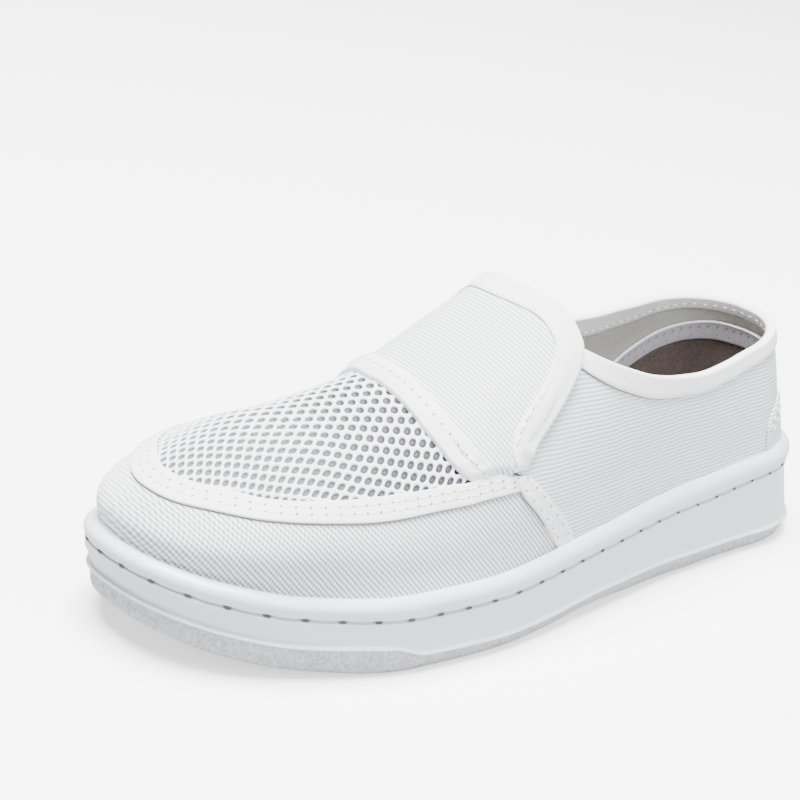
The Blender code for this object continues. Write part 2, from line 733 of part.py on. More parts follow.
def make_heel_stay(material):
    end = HEEL_STAY_END * HEEL_STAY_HALF
    along = ribs_between(-end, end)
    columns = []
    for a in along:
        side = 1.0 if a >= 0 else -1.0
        share = abs(a) / HEEL_STAY_HALF
        top = HEEL_STAY_HEIGHT * (1 - share**HEEL_STAY_POWER) ** (1 / HEEL_STAY_POWER)
        low = rim_across(abs(a), side)
        high = across_at(abs(a), side, lambda station: smooth(SIDE, "rim", station) + top)
        columns.append(np.linspace(low, high, HEEL_STAY_ROWS))
    along = along[:, None] + np.zeros((1, HEEL_STAY_ROWS))
    across = np.array(columns)
    fade = (1 - np.linspace(0, 1, HEEL_STAY_ROWS)) ** HEEL_STAY_FADE
    flare = HEEL_STAY_FLARE * (1 - (along / HEEL_STAY_HALF) ** 2) * fade
    under, over = (last_point(along, across, lift) for lift in (GAP, GAP + TAPE + flare))
    return sheet("heel_stay", under, over, material)


def main():
    for old in list(bpy.data.objects):
        bpy.data.objects.remove(old)
    canvas = paint("white_canvas", (222, 223, 226), 0.85)
    binding = paint("white_tape", (226, 227, 229), 0.80)
    smooth_sole = paint("sole_smooth", (206, 209, 213), 0.45)
    tread = paint("sole_tread", (198, 200, 204), 0.70)
    brown = paint("insole_brown", (94, 87, 85), 0.90)
    make_outsole(tread)
    stack_of_rings("midsole", MIDSOLE_RINGS, smooth_sole)
    stack_of_rings("insole", INSOLE_RINGS, brown)
    make_upper(canvas)
    make_tongue(canvas)
    make_flap_hem(binding)
    make_flap_binding(binding)
    make_collar_binding(binding)
    make_vamp_tape(binding)
    make_side_tape("side_tape_lateral", 1, binding)
    make_side_tape("side_tape_medial", -1, binding)
    make_heel_stay(canvas)


if __name__ == "__main__":
    main()
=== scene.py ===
import bpy
import bmesh
import numpy as np
from mathutils import Matrix, Vector


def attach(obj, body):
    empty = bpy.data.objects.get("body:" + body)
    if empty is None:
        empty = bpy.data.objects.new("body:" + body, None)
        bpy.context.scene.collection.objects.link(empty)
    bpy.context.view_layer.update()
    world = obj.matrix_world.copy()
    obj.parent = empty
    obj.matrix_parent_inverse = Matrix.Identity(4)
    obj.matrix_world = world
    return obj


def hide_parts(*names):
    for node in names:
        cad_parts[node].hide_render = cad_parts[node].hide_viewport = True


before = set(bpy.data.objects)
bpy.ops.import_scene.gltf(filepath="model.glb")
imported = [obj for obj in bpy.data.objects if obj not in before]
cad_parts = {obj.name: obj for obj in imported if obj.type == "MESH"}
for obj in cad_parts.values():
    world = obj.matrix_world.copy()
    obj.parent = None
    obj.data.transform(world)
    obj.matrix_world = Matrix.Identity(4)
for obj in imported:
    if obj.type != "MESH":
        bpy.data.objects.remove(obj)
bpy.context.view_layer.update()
print("frame loaded:", len(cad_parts), "solids")

mm = 0.001               # the shoe's own sizes below are in millimetres


def addObject(name, data):
    thing = bpy.data.objects.new(name, data)
    bpy.context.scene.collection.objects.link(thing)
    return thing


# Camera at the photograph's angle, with its roll

cameraSet = {
    "target": (-28.93, -14.95, 49.43), "distance": 687.6, "azimuth": 46.05, "elevation": 19.55, "roll": 7.45,
    "lens": 95.11, "sensor": 36.0, "near": 10.0,
}


def makeCamera():
    azimuth, elevation, roll = np.radians([cameraSet[k] for k in ("azimuth", "elevation", "roll")])
    level = np.cos(elevation)
    back = Vector((np.sin(azimuth) * level, -np.cos(azimuth) * level, np.sin(elevation)))
    turn = back.to_track_quat("Z", "Y").to_matrix().to_4x4() @ Matrix.Rotation(roll, 4, "Z")
    place = (Vector(cameraSet["target"]) + back * cameraSet["distance"]) * mm
    camera = addObject("camera", bpy.data.cameras.new("camera"))
    camera.data.lens = cameraSet["lens"]
    camera.data.sensor_width = cameraSet["sensor"]
    camera.data.sensor_fit = "HORIZONTAL"
    camera.data.clip_start = cameraSet["near"] * mm
    camera.matrix_world = Matrix.Translation(place) @ turn
    bpy.context.scene.camera = camera


makeCamera()
print("camera set")


# The shoe's form: tables by station, the share of the length from heel (0) to toe (1)

def sizesOf(names, rows):
    return {name: np.array([row[i] for row in rows], float) for i, name in enumerate(names.split())}


form = {
    "length": 276.0, "heelRound": 0.135, "heelPower": 2.18, "toeRound": 0.24, "toePower": 2.42,
    "centre": (0.6947, 0.3),     # moves the outline to the middle of the frame
    "cupDepth": 8.0, "upperInset": 5.4, "gap": 0.3, "bulgeLow": 5,
    "ribLength": 85.0,           # about the length of a rib from the sole to the crest
    "nudge": 0.004,              # step for finding directions
    "weld": 0.02,
}
outline = sizesOf("station lateral medial axis", (
    (0.00, 36.7, 36.0, -0.1), (0.12, 36.9, 36.5, -0.7), (0.28, 38.4, 34.5, 1.1), (0.45, 44.7, 34.0, 1.2),
    (0.62, 51.1, 44.0, 1.2), (0.75, 52.6, 49.0, -1.7), (0.88, 46.4, 47.2, -4.4), (1.00, 43.3, 41.4, -8.5),
))
soleSide = sizesOf("station bottom step stitch rim lowOut highOut", (
    (0.00, 0.0, 5.4, 28.2, 34.6, 2.3, -1.9),
    (0.12, 0.0, 5.6, 26.4, 33.6, 1.0, -0.8),
    (0.25, 0.0, 5.8, 24.4, 32.4, 0.0, 0.0),
    (0.36, 0.6, 6.4, 22.8, 30.4, 0.0, 0.0),
    (0.45, 1.6, 6.4, 21.2, 28.4, 0.0, 0.0),
    (0.55, 0.5, 5.2, 19.4, 26.4, 0.0, 0.0),
    (0.62, 0.0, 4.7, 18.1, 25.0, 0.0, 0.0),
    (0.68, 0.0, 4.9, 17.6, 24.4, 0.0, 0.0),
    (0.74, 0.0, 5.2, 17.5, 24.3, 0.0, 0.0),
    (0.785, 0.2, 8.6, 17.8, 24.4, 0.0, 0.2),
    (0.88, 2.3, 10.2, 19.7, 25.8, 0.0, 1.0),
    (0.95, 5.7, 13.5, 22.9, 28.9, 0.0, 1.6),
    (1.00, 9.8, 17.0, 26.4, 31.8, 0.0, 2.0),
))
ribForm = sizesOf("station crestStation fullness bulge", (
    (0.00, 0.160, 1.40, 1.0), (0.15, 0.210, 1.45, 1.0), (0.30, 0.315, 2.00, 0.5), (0.50, 0.500, 2.45, 0.0),
    (0.60, 0.595, 2.45, 0.0), (0.72, 0.700, 2.25, 0.5), (0.80, 0.750, 2.35, 1.8), (0.88, 0.790, 2.85, 4.2),
    (0.95, 0.820, 2.85, 5.6), (1.00, 0.840, 2.85, 5.8),
))
crest = sizesOf("station height x", (
    (0.15, 132.0, 0.0), (0.35, 114.0, 0.0), (0.48, 95.5, -1.0), (0.55, 83.5, -2.0), (0.62, 73.6, -3.0),
    (0.70, 66.6, -4.0), (0.77, 62.1, -5.0), (0.84, 58.6, -6.5), (1.00, 48.0, -8.5),
))
collarLine = sizesOf("station lateral medial", (
    (0.00, 77.0, 77.0), (0.05, 75.2, 75.2), (0.08, 73.7, 74.5), (0.14, 70.3, 73.0), (0.20, 67.8, 71.5),
    (0.26, 67.0, 70.2), (0.31, 67.9, 70.2), (0.36, 70.3, 72.0), (0.41, 74.7, 76.0), (0.46, 80.1, 80.6),
    (0.50, 86.0, 86.0), (0.53, 93.0, 93.0), (0.58, 130.0, 130.0),
))


def smooth(sizes, column, at):
    # monotone cubic over the first column, level past its ends
    xs, ys = next(iter(sizes.values())), sizes[column]
    step = np.diff(xs)
    slope = np.diff(ys) / step
    tangent = np.concatenate([slope[:1], np.zeros(len(xs) - 2), slope[-1:]])
    same = slope[:-1] * slope[1:] > 0
    before, after = slope[:-1][same], slope[1:][same]
    tangent[1:-1][same] = 2 * before * after / (before + after)
    at = np.clip(np.asarray(at, float), xs[0], xs[-1])
    i = np.clip(np.searchsorted(xs, at, side="right") - 1, 0, len(step) - 1)
    t = (at - xs[i]) / step[i]
    swing = tangent[i] * (t - 2 * t**2 + t**3) + tangent[i + 1] * (t**3 - t**2)
    return ys[i] + (ys[i + 1] - ys[i]) * (3 * t**2 - 2 * t**3) + step[i] * swing


def unit(ways):
    return ways / np.maximum(np.linalg.norm(ways, axis=-1, keepdims=True), 1e-9)


def ease(t):
    t = np.clip(t, 0.0, 1.0)
    return t * t * (3 - 2 * t)


def ramp(value, low, high):
    return ease((value - low) / (high - low))


def sidePoint(station, side):
    heel = np.clip(1 - station / form["heelRound"], 0, 1)
    toe = np.clip((station - 1 + form["toeRound"]) / form["toeRound"], 0, 1)
    heelEnd = (1 - heel ** form["heelPower"]) ** (1 / form["heelPower"])
    toeEnd = (1 - toe ** form["toePower"]) ** (1 / form["toePower"])
    half = np.where(side > 0, smooth(outline, "lateral", station), smooth(outline, "medial", station))
    x = smooth(outline, "axis", station) + side * half * heelEnd * toeEnd
    return np.stack([x, form["length"] * (0.5 - station)], -1)


fineStations = (1 - np.cos(np.linspace(0, np.pi, 801))) / 2
fineEdges = [sidePoint(fineStations, np.full(fineStations.shape, side)) for side in (1.0, -1.0)]
edgeRun = sum(np.linalg.norm(np.diff(edge, axis=0), axis=1) for edge in fineEdges)
edgeLength = edgeRun.sum() / 2                   # heel to toe round one side, the mean of both
edgeRun = np.concatenate([[0.0], np.cumsum(edgeRun)]) / edgeRun.sum()


def stationOf(along):
    return np.interp(along, edgeRun, fineStations)


def alongOf(station):
    return np.interp(station, fineStations, edgeRun)


def stationRound(along):
    # the station of a place that may lie past the tip of the toe
    return stationOf(np.where(along > 1, 2 - along, along))


def unfold(along, side):
    # carry on round the tip of the heel or toe to the other side
    past = (along > 1) | (along < 0)
    along = np.where(along > 1, 2 - along, np.abs(along))
    return along, np.where(past, -side, side)


def outlinePoint(along, side):
    along, side = unfold(along, side)
    return sidePoint(stationOf(along), side) - np.array(form["centre"])


def edgePoint(along, side, inset):
    along = np.asarray(along, float)
    side = np.asarray(side, float) + np.zeros_like(along)
    inset = np.asarray(inset, float) + np.zeros_like(along)
    run = outlinePoint(along + form["nudge"], side) - outlinePoint(along - form["nudge"], side)
    out = unit(np.stack([-run[..., 1], run[..., 0]], -1) * side[..., None])
    return outlinePoint(along, side) - out * inset[..., None]


def yOf(station):
    return form["length"] * (0.5 - station) - form["centre"][1]


def stationAt(y):
    return 0.5 - (y + form["centre"][1]) / form["length"]


def bareLast(along, across):
    # across goes from -1 (medial sole edge) over the crest (0) to 1 (lateral sole edge)
    along, across = unfold(along, across)
    side = np.where(across < 0, -1.0, 1.0)
    angle = (1 - np.clip(np.abs(across), 0, 1)) * np.pi / 2
    station = stationOf(along)
    crestStation = smooth(ribForm, "crestStation", station)
    power = 2 / smooth(ribForm, "fullness", station)
    lean = 1 - np.clip(np.cos(angle), 0, 1) ** power
    low = smooth(soleSide, "rim", station) - form["cupDepth"] + form["gap"]
    rimShare = (form["cupDepth"] + form["gap"]) / (smooth(crest, "height", station) - low)
    rimAngle = np.arcsin(rimShare ** (1 / power))
    above = np.clip((angle - rimAngle) / (np.pi / 2 - rimAngle), 0, 1) * np.pi / 2
    n = form["bulgeLow"]
    peak = n ** (n / 2) / (1 + n) ** ((1 + n) / 2)
    swell = smooth(ribForm, "bulge", station) * np.sin(above) * np.cos(above) ** n / peak
    foot = edgePoint(along, side, form["upperInset"] - swell - smooth(soleSide, "highOut", station))
    crestX = smooth(crest, "x", crestStation) - form["centre"][0]
    x = foot[..., 0] + (crestX - foot[..., 0]) * lean
    y = foot[..., 1] + (yOf(crestStation) - foot[..., 1]) * lean
    z = low + (smooth(crest, "height", stationAt(y)) - low) * np.sin(angle) ** power
    return np.stack([x, y, z], -1)


def directions(along, across):
    step = form["nudge"]
    down = bareLast(along, np.clip(across + step, -1, 1)) - bareLast(along, np.clip(across - step, -1, 1))
    ahead = bareLast(along + step, across) - bareLast(along - step, across)
    return ahead, down, unit(np.cross(ahead, down))


creases = sizesOf("along across slant length width depth", (      # slant 0 is lengthwise, 90 upright
    (0.22, 0.80, 85, 18, 7.0, 0.25), (0.31, 0.84, 78, 15, 6.0, -0.35), (0.41, 0.80, 66, 16, 5.0, -0.40),
    (0.45, 0.73, 74, 14, 4.0, 0.30), (0.535, 0.87, 58, 11, 4.0, -0.35), (0.70, 0.86, 8, 18, 5.0, -0.30),
    (0.81, 0.85, -6, 16, 5.0, -0.30),
    (0.24, -0.80, 84, 18, 7.0, 0.25), (0.33, -0.84, 75, 15, 6.0, -0.40), (0.43, -0.80, 62, 16, 5.0, -0.40),
    (0.53, -0.86, 55, 11, 4.0, -0.35), (0.72, -0.86, 8, 18, 5.0, -0.30), (0.86, -0.85, -4, 16, 5.0, -0.30),
    (1.00, 0.87, 0, 42, 9.0, 1.5), (1.00, -0.87, 0, 42, 9.0, 1.5),
))


def creaseLift(along, across):
    # soft troughs and ridges, in millimetres
    along, across = unfold(along, across)
    lift = np.zeros(np.broadcast(along, across).shape)
    for atAlong, atAcross, slant, length, width, depth in zip(*creases.values()):
        forward = (along - atAlong) * edgeLength
        upward = (abs(atAcross) - np.abs(across)) * form["ribLength"]
        turn = np.radians(slant)
        run = forward * np.cos(turn) + upward * np.sin(turn)
        off = upward * np.cos(turn) - forward * np.sin(turn)
        lift += depth * np.exp(-(run / length) ** 2 - (off / width) ** 2) * (across * atAcross > 0)
    return lift


def lastPoint(along, across, lift=0.0):
    along, across, lift = np.broadcast_arrays(*(np.asarray(a, float) for a in (along, across, lift)))
    clear = np.where(np.abs(across) < form["nudge"], form["nudge"], across)      # the crest has no side
    out = directions(along, clear)[2]
    return bareLast(along, across) + out * (lift + creaseLift(along, across))[..., None]


def acrossAt(along, side, height):
    # where the rib at a place on the edge reaches a height, or 0 where it stays below
    along, side = np.broadcast_arrays(np.asarray(along, float), np.asarray(side, float))
    reach = np.linspace(1, 0, 161)
    rib = bareLast(along[..., None] + 0 * reach, side[..., None] * reach)
    over = rib[..., 2] - height(stationAt(rib[..., 1]), along[..., None])
    i = np.maximum(np.argmax(over > 0, axis=-1), 1)
    here = np.take_along_axis(over, i[..., None], -1)[..., 0]
    last = np.take_along_axis(over, i[..., None] - 1, -1)[..., 0]
    found = reach[i] + (reach[i - 1] - reach[i]) * here / np.where(here == last, 1, here - last)
    return np.where(over.max(axis=-1) > 0, found, 0.0)


edgePlaces = np.linspace(0, 1, 301)


def reachTables(sizes, lateral, medial, clear=0.0):
    # where the ribs of each side reach the height of a line
    def reachOf(side, column):
        return acrossAt(edgePlaces, side, lambda station, along: smooth(sizes, column, station) + clear)
    return {1: reachOf(1.0, lateral), -1: reachOf(-1.0, medial)}


collarTable = reachTables(collarLine, "lateral", "medial")
rimTable = reachTables(soleSide, "rim", "rim", form["gap"])


def bySide(tables, along, side):
    lateral, medial = (np.interp(along, edgePlaces, tables[s]) for s in (1, -1))
    return np.where(side > 0, lateral, medial)


def byColumn(u, workOut):
    # work a value out once for each column of a grid
    columns, where = np.unique(np.round(u, 7), return_inverse=True)
    return workOut(columns)[where]


def roundHeel(u, half):
    turn = half * (2 * u - 1)
    return np.abs(turn), np.where(turn < 0, -1.0, 1.0)


def shiftOnLast(along, across, forward, outward):
    # move a place on the last by lengths along its surface
    ways = directions(along, across)[:2]
    perAlong, perAcross = (np.linalg.norm(way, axis=-1) / (2 * form["nudge"]) for way in ways)
    return along + forward / perAlong, across + outward / perAcross


def belowCollar(along, side, inset):
    # the place a length below the collar's top line
    return shiftOnLast(along, side * bySide(collarTable, along, side), 0.0, side * inset)[1]


print("last worked out, edge", round(edgeLength, 1), "mm a side")


# Meshes: a grid operator gives the faces, and its points are laid on the form

insideShoe = (0.0, 0.0, 42.0)


def layGrid(columnCount, rowCount, placeAt, clothAt=None, facing="out", closeEnds=False):
    bm = bmesh.new()
    bmesh.ops.create_grid(bm, x_segments=columnCount, y_segments=rowCount, size=0.5)
    u, v = (np.array([vert.co[:2] for vert in bm.verts]) + 0.5).T
    places = placeAt(u, v)
    for vert, place in zip(bm.verts, places * mm):
        vert.co = place
    if clothAt:
        cloth = clothAt(u, v)
        layer = bm.loops.layers.uv.new("cloth")
        for face in bm.faces:
            for loop in face.loops:
                loop[layer].uv = cloth[loop.vert.index]
    bmesh.ops.remove_doubles(bm, verts=bm.verts, dist=form["weld"] * mm)
    if closeEnds:
        bmesh.ops.holes_fill(bm, edges=[e for e in bm.edges if e.is_boundary], sides=0)
        bmesh.ops.recalc_face_normals(bm, faces=bm.faces)
        return bm
    bm.normal_update()
    middle = Vector(insideShoe) * mm
    outward = sum(f.normal.dot(f.calc_center_median() - middle) * f.calc_area() for f in bm.faces)
    if (outward < 0) == (facing == "out"):
        bmesh.ops.reverse_faces(bm, faces=bm.faces)
    return bm


def meshOf(name, bm):
    mesh = bpy.data.meshes.new(name)
    bm.to_mesh(mesh)
    bm.free()
    return mesh


def finishPiece(name, bm, material, nodes=(), wall=None):
    mesh = meshOf(name, bm)
    mesh.shade_smooth()
    mesh.materials.append(material)
    piece = addObject(name, mesh)
    if wall:
        thick = piece.modifiers.new("wall", "SOLIDIFY")
        thick.thickness = wall * mm
        thick.offset = -1.0
    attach(piece, "root")
    if nodes:
        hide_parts(*nodes)
    return piece


def tapeSection(v, corner=0.36):
    # once round a flat section with rounded edges: share of the width, share of the height
    angle = 2 * np.pi * v
    share = 0.5 + 0.5 * np.sign(np.cos(angle)) * np.abs(np.cos(angle)) ** corner
    rise = 0.5 + 0.5 * np.sign(np.sin(angle)) * np.abs(np.sin(angle)) ** corner
    return share, rise


def layStrip(count, edgesAt, low, high, liftAt=None, turns=24):
    # a tape laid between two lines on the last
    def placeAt(u, v):
        (alongA, acrossA), (alongB, acrossB) = edgesAt(u)
        share, rise = tapeSection(v)
        lift = low + (high - low) * rise
        if liftAt:
            lift = lift + liftAt(u, share) * rise
        return lastPoint(alongA + (alongB - alongA) * share, acrossA + (acrossB - acrossA) * share, lift)
    return layGrid(count, turns, placeAt, closeEnds=True)


# Materials

def newGroup(name, vectors, values, outputs):
    group = bpy.data.node_groups.new(name, "ShaderNodeTree")
    sockets = [(label, "INPUT", "NodeSocketVector") for label in vectors]
    sockets += [(label, "INPUT", "NodeSocketFloat") for label in values]
    sockets += [(label, "OUTPUT", "NodeSocketFloat") for label in outputs]
    for label, way, kind in sockets:
        group.interface.new_socket(label, in_out=way, socket_type=kind)
    return group, group.nodes.new("NodeGroupInput"), group.nodes.new("NodeGroupOutput")


def plug(tree, socket, value):
    if isinstance(value, bpy.types.NodeSocket):
        tree.links.new(value, socket)
    else:
        socket.default_value = value


def addNode(tree, kind, inputs):
    node = tree.nodes.new(kind)
    for label, value in inputs.items():
        plug(tree, node.inputs[label], value)
    return node


def mathNode(tree, operation, *values):
    node = addNode(tree, "ShaderNodeMath", dict(enumerate(values)))
    node.operation = operation
    return node.outputs[0]


def dotNode(tree, first, second):
    node = addNode(tree, "ShaderNodeVectorMath", {0: first, 1: second})
    node.operation = "DOT_PRODUCT"
    return node.outputs["Value"]


def waveNode(tree, turns):
    return mathNode(tree, "COSINE", mathNode(tree, "MULTIPLY", turns, 2 * np.pi))


def noiseNode(tree, place, scale, detail=2.0):
    inputs = {"Vector": place, "Scale": scale, "Detail": detail}
    return addNode(tree, "ShaderNodeTexNoise", inputs).outputs["Fac"]


def rangeNode(tree, value, low, high):
    node = addNode(tree, "ShaderNodeMapRange", {"Value": value, "From Min": low, "From Max": high})
    node.interpolation_type = "SMOOTHSTEP"
    return node.outputs["Result"]


ribSet = {
    "wanderScale": 130.0, "wander": 0.5, "level": 0.40, "ribs": 0.38, "stagger": 0.5,
    "fuzzScale": 2300.0, "fuzz": 0.2, "drawnLeast": 0.35,
}
grainSet = {"detail": 3.0, "cloudScale": 45.0, "coatRoughness": 0.3}


def makeRibGroup():
    # ribs in one direction, beaded by the thread that crosses them
    group, ins, outs = newGroup(
        "ribbed weave", ("Position", "Across ribs", "Along ribs"), ("Beads",), ("Height", "Groove shade"))
    place = ins.outputs["Position"]
    drift = noiseNode(group, place, ribSet["wanderScale"])
    wander = mathNode(group, "MULTIPLY_ADD", drift, ribSet["wander"], -ribSet["wander"] / 2)
    u = mathNode(group, "ADD", dotNode(group, place, ins.outputs["Across ribs"]), wander)
    v = dotNode(group, place, ins.outputs["Along ribs"])
    v = mathNode(group, "MULTIPLY_ADD", u, ribSet["stagger"], v)
    height = mathNode(group, "MULTIPLY_ADD", waveNode(group, u), ribSet["ribs"], ribSet["level"])
    height = mathNode(group, "MULTIPLY_ADD", waveNode(group, v), ins.outputs["Beads"], height)
    fuzz = noiseNode(group, place, ribSet["fuzzScale"])
    height = mathNode(group, "MULTIPLY_ADD", fuzz, ribSet["fuzz"], height)
    group.links.new(height, outs.inputs["Height"])
    # the groove share is used to paint shade between the ribs
    group.links.new(mathNode(group, "SUBTRACT", 1.0, height), outs.inputs["Groove shade"])
    return group


def makeGrainGroup():
    # fine cloth or moulded grain, with a slow cloud over it
    group, ins, outs = newGroup("fine grain", ("Position",), ("Scale",), ("Height", "Cloud"))
    place = ins.outputs["Position"]
    group.links.new(noiseNode(group, place, ins.outputs["Scale"], grainSet["detail"]), outs.inputs["Height"])
    group.links.new(noiseNode(group, place, grainSet["cloudScale"]), outs.inputs["Cloud"])
    return group


ribGroup = makeRibGroup()
grainGroup = makeGrainGroup()


def srgb(colour):
    return (*[((c / 255 + 0.055) / 1.055) ** 2.4 for c in colour], 1.0)


def startMaterial(name, sizes, group):
    material = bpy.data.materials.new(name)
    material.use_nodes = True
    tree = material.node_tree
    shader = tree.nodes["Principled BSDF"]
    shader.inputs["Roughness"].default_value = sizes["roughness"]
    shader.inputs["Coat Weight"].default_value = sizes.get("coat", 0.0)
    shader.inputs["Coat Roughness"].default_value = grainSet["coatRoughness"]
    effect = tree.nodes.new("ShaderNodeGroup")
    effect.node_tree = group
    plug(tree, effect.inputs["Position"], tree.nodes.new("ShaderNodeTexCoord").outputs["Object"])
    return material, tree, shader, effect


def mixColours(tree, share, first, second):
    mix = addNode(tree, "ShaderNodeMix", {"Factor": share})
    mix.data_type = "RGBA"
    mix.clamp_factor = True
    for label, colour in (("A", first), ("B", second)):
        socket = next(s for s in mix.inputs if s.name == label and s.type == "RGBA")
        plug(tree, socket, srgb(colour) if isinstance(colour, tuple) else colour)
    return next(s for s in mix.outputs if s.type == "RGBA")


def addBump(tree, shader, height, sizes):
    inputs = {"Strength": sizes["bump"], "Distance": sizes["depth"] * mm, "Height": height}
    tree.links.new(addNode(tree, "ShaderNodeBump", inputs).outputs["Normal"], shader.inputs["Normal"])


def canvasMaterial(name, sizes):
    material, tree, shader, weave = startMaterial(name, sizes, ribGroup)
    for label, way, pitch in (("Across", "acrossRibs", "ribPitch"), ("Along", "alongRibs", "beadPitch")):
        weave.inputs[label + " ribs"].default_value = Vector(sizes[way]).normalized() / (sizes[pitch] * mm)
    weave.inputs["Beads"].default_value = sizes["beads"]
    groove = weave.outputs["Groove shade"]
    if "drawn" in sizes:      # the painted groove shade is weaker towards the far end of the toe
        where = tree.nodes.new("ShaderNodeTexCoord").outputs["Object"]
        sides = addNode(tree, "ShaderNodeSeparateXYZ", {"Vector": where})
        drawn = rangeNode(tree, sides.outputs["X"], *(x * mm for x in sizes["drawn"]))
        least = ribSet["drawnLeast"]
        drawn = mathNode(tree, "MULTIPLY_ADD", drawn, 1 - least, least)
        groove = mathNode(tree, "MULTIPLY", groove, drawn)
    # the rib grooves are painted darker in the cloth's colour, as the shade between the ribs
    tree.links.new(mixColours(tree, groove, sizes["light"], sizes["shade"]), shader.inputs["Base Color"])
    addBump(tree, shader, weave.outputs["Height"], sizes)
    return material


def grainMaterial(name, sizes):
    material, tree, shader, grain = startMaterial(name, sizes, grainGroup)
    grain.inputs["Scale"].default_value = sizes["scale"]
    share = mathNode(tree, "MULTIPLY", grain.outputs["Cloud"], sizes["cloud"])
    share = mathNode(tree, "MULTIPLY_ADD", grain.outputs["Height"], sizes["speck"], share)
    colour = mixColours(tree, share, sizes["light"], sizes["shade"])
    tree.links.new(colour, shader.inputs["Base Color"])
    addBump(tree, shader, grain.outputs["Height"], sizes)
    return material


def looksOf(columns, rows):
    # a settings dictionary for each named row
    return {row[0]: dict(zip(columns.split(), row[1:])) for row in rows}


canvasColumns = "acrossRibs alongRibs ribPitch beadPitch beads light shade roughness bump depth drawn"
canvasLooks = looksOf(canvasColumns, (
    ("toe canvas", (0.11, 0.72, 0.68), (0.24, 0.66, -0.72), 1.28, 1.15, 0.15,
     (250, 251, 253), (136, 138, 144), 0.88, 0.40, 0.40, (-42, 0)),
    ("quarter canvas", (0.0, 0.0, 1.0), (0.1, 1.0, 0.0), 1.30, 1.15, 0.10,
     (244, 245, 249), (172, 174, 181), 0.88, 0.40, 0.40),
    ("flap canvas", (0.1, 0.80, 0.59), (1.0, 0.0, -0.2), 1.33, 1.15, 0.10,
     (249, 250, 252), (168, 170, 176), 0.85, 0.35, 0.35),
))
toeCanvasCloth, quarterCloth, flapCloth = (canvasMaterial(name, look) for name, look in canvasLooks.items())

grainLooks = looksOf("light shade roughness scale cloud speck bump depth coat", (
    ("white tape", (248, 248, 250), (196, 198, 204), 0.75, 1500.0, 0.12, 0.30, 0.25, 0.25),
    ("grey tape", (204, 205, 214), (150, 151, 162), 0.75, 1300.0, 0.20, 0.60, 0.40, 0.30),
    ("smooth sole", (218, 223, 230), (196, 202, 210), 0.32, 700.0, 0.35, 0.06, 0.05, 0.10, 0.35),
    ("grained tread", (244, 245, 247), (96, 98, 103), 0.55, 800.0, 0.05, 0.85, 1.00, 1.20),
    ("grey lining", (196, 197, 191), (140, 141, 134), 0.90, 1300.0, 0.30, 0.50, 0.30, 0.25),
    ("brown heel lining", (124, 113, 108), (56, 49, 47), 0.93, 1000.0, 0.35, 0.65, 0.40, 0.30),
    ("white thread", (250, 250, 251), (220, 221, 224), 0.60, 2500.0, 0.10, 0.30, 0.20, 0.10),
    # dark beads painted as the shade in the sole's stitch holes
    ("sole stitch end", (84, 85, 88), (50, 51, 54), 0.95, 1500.0, 0.20, 0.30, 0.10, 0.10),
    # dark beads painted as the shade in needle holes, also used for the strips painted as shadow below sewn
    # edges
    ("needle hole", (150, 151, 156), (98, 99, 103), 0.95, 1500.0, 0.20, 0.30, 0.10, 0.10),
))
(tapeCloth, patchTapeCloth, soleRubber, treadRubber, liningCloth, brownCloth, threadWhite, pitShade,
 needleShade) = (grainMaterial(name, look) for name, look in grainLooks.items())
print("materials made")


# Flap over the instep, from its sewn front edge to its bound free edge

flapSet = {
    "lowEnd": 0.62, "frontEnd": 0.605, "rearEnd": 0.656, "tuck": 0.045,      # low ends under the vamp tape
    "stand": 2.4, "ease": 0.13, "sewnFlat": 0.15, "thickness": 2.0, "sheetTop": 1.9, "wall": 1.6,
    "lowFrom": 0.38, "lowFull": 0.54,
    "hemWidth": 8.0, "hemHeight": 1.0, "hemThin": 1.3, "hemThinWidth": 5.0, "hemPast": 0.6, "hemFoot": -1.2,
    "hemFootFrom": 0.8, "hemSeam": 3.9,
    "bindingWidth": 7.4, "bindingRound": 1.2, "bindingHalf": 1.55, "bindingSeam": 1.2,
    "bindingSeamTop": 1.5, "droop": 1.3, "droopWidth": 4.5,
    "underBinding": 4.0, "underLowEnd": 3.0, "underHem": 2.5,
}
flapLine = sizesOf("reach front rear", (
    (-1.00, 0.640, 0.588), (-0.94, 0.643, 0.577), (-0.82, 0.648, 0.524), (-0.73, 0.651, 0.496),
    (-0.62, 0.655, 0.484), (-0.45, 0.661, 0.482), (0.00, 0.687, 0.493), (0.45, 0.692, 0.482),
    (0.62, 0.688, 0.484), (0.73, 0.684, 0.496), (0.82, 0.678, 0.524), (0.94, 0.664, 0.577),
    (1.00, 0.655, 0.588),
))
sewnLine = sizesOf("station across", (
    (0.580, 0.660), (0.613, 0.652), (0.621, 0.636), (0.633, 0.616), (0.646, 0.602), (0.660, 0.597),
    (0.700, 0.597),
))
hemDents = sizesOf("across inset length width depth", (      # soft folds at the hem's outer end
    (0.47, 4.5, 0.045, 2.2, -0.80), (0.545, 5.5, 0.030, 2.0, -0.90), (0.505, 2.0, 0.025, 1.6, 0.35),
    (-0.52, 4.5, 0.045, 2.2, -0.55),
))
bindingDents = sizesOf("across inset length width depth", (      # the curl at the binding's low ends
    (0.628, 2.2, 0.010, 2.4, -1.30), (0.602, 0.5, 0.014, 1.6, 0.55), (0.575, 4.0, 0.040, 2.4, -0.45),
    (-0.625, 2.2, 0.010, 2.4, -1.20), (-0.58, 3.5, 0.040, 2.4, -0.45),
))


def dentLift(dents, across, inset):
    lift = np.zeros_like(across)
    for atAcross, atInset, length, width, depth in zip(*dents.values()):
        lift += depth * np.exp(-((across - atAcross) / length) ** 2 - ((inset - atInset) / width) ** 2)
    return lift


def flapEdges(across):
    reach = across / flapSet["lowEnd"]
    return smooth(flapLine, "front", reach), smooth(flapLine, "rear", reach)


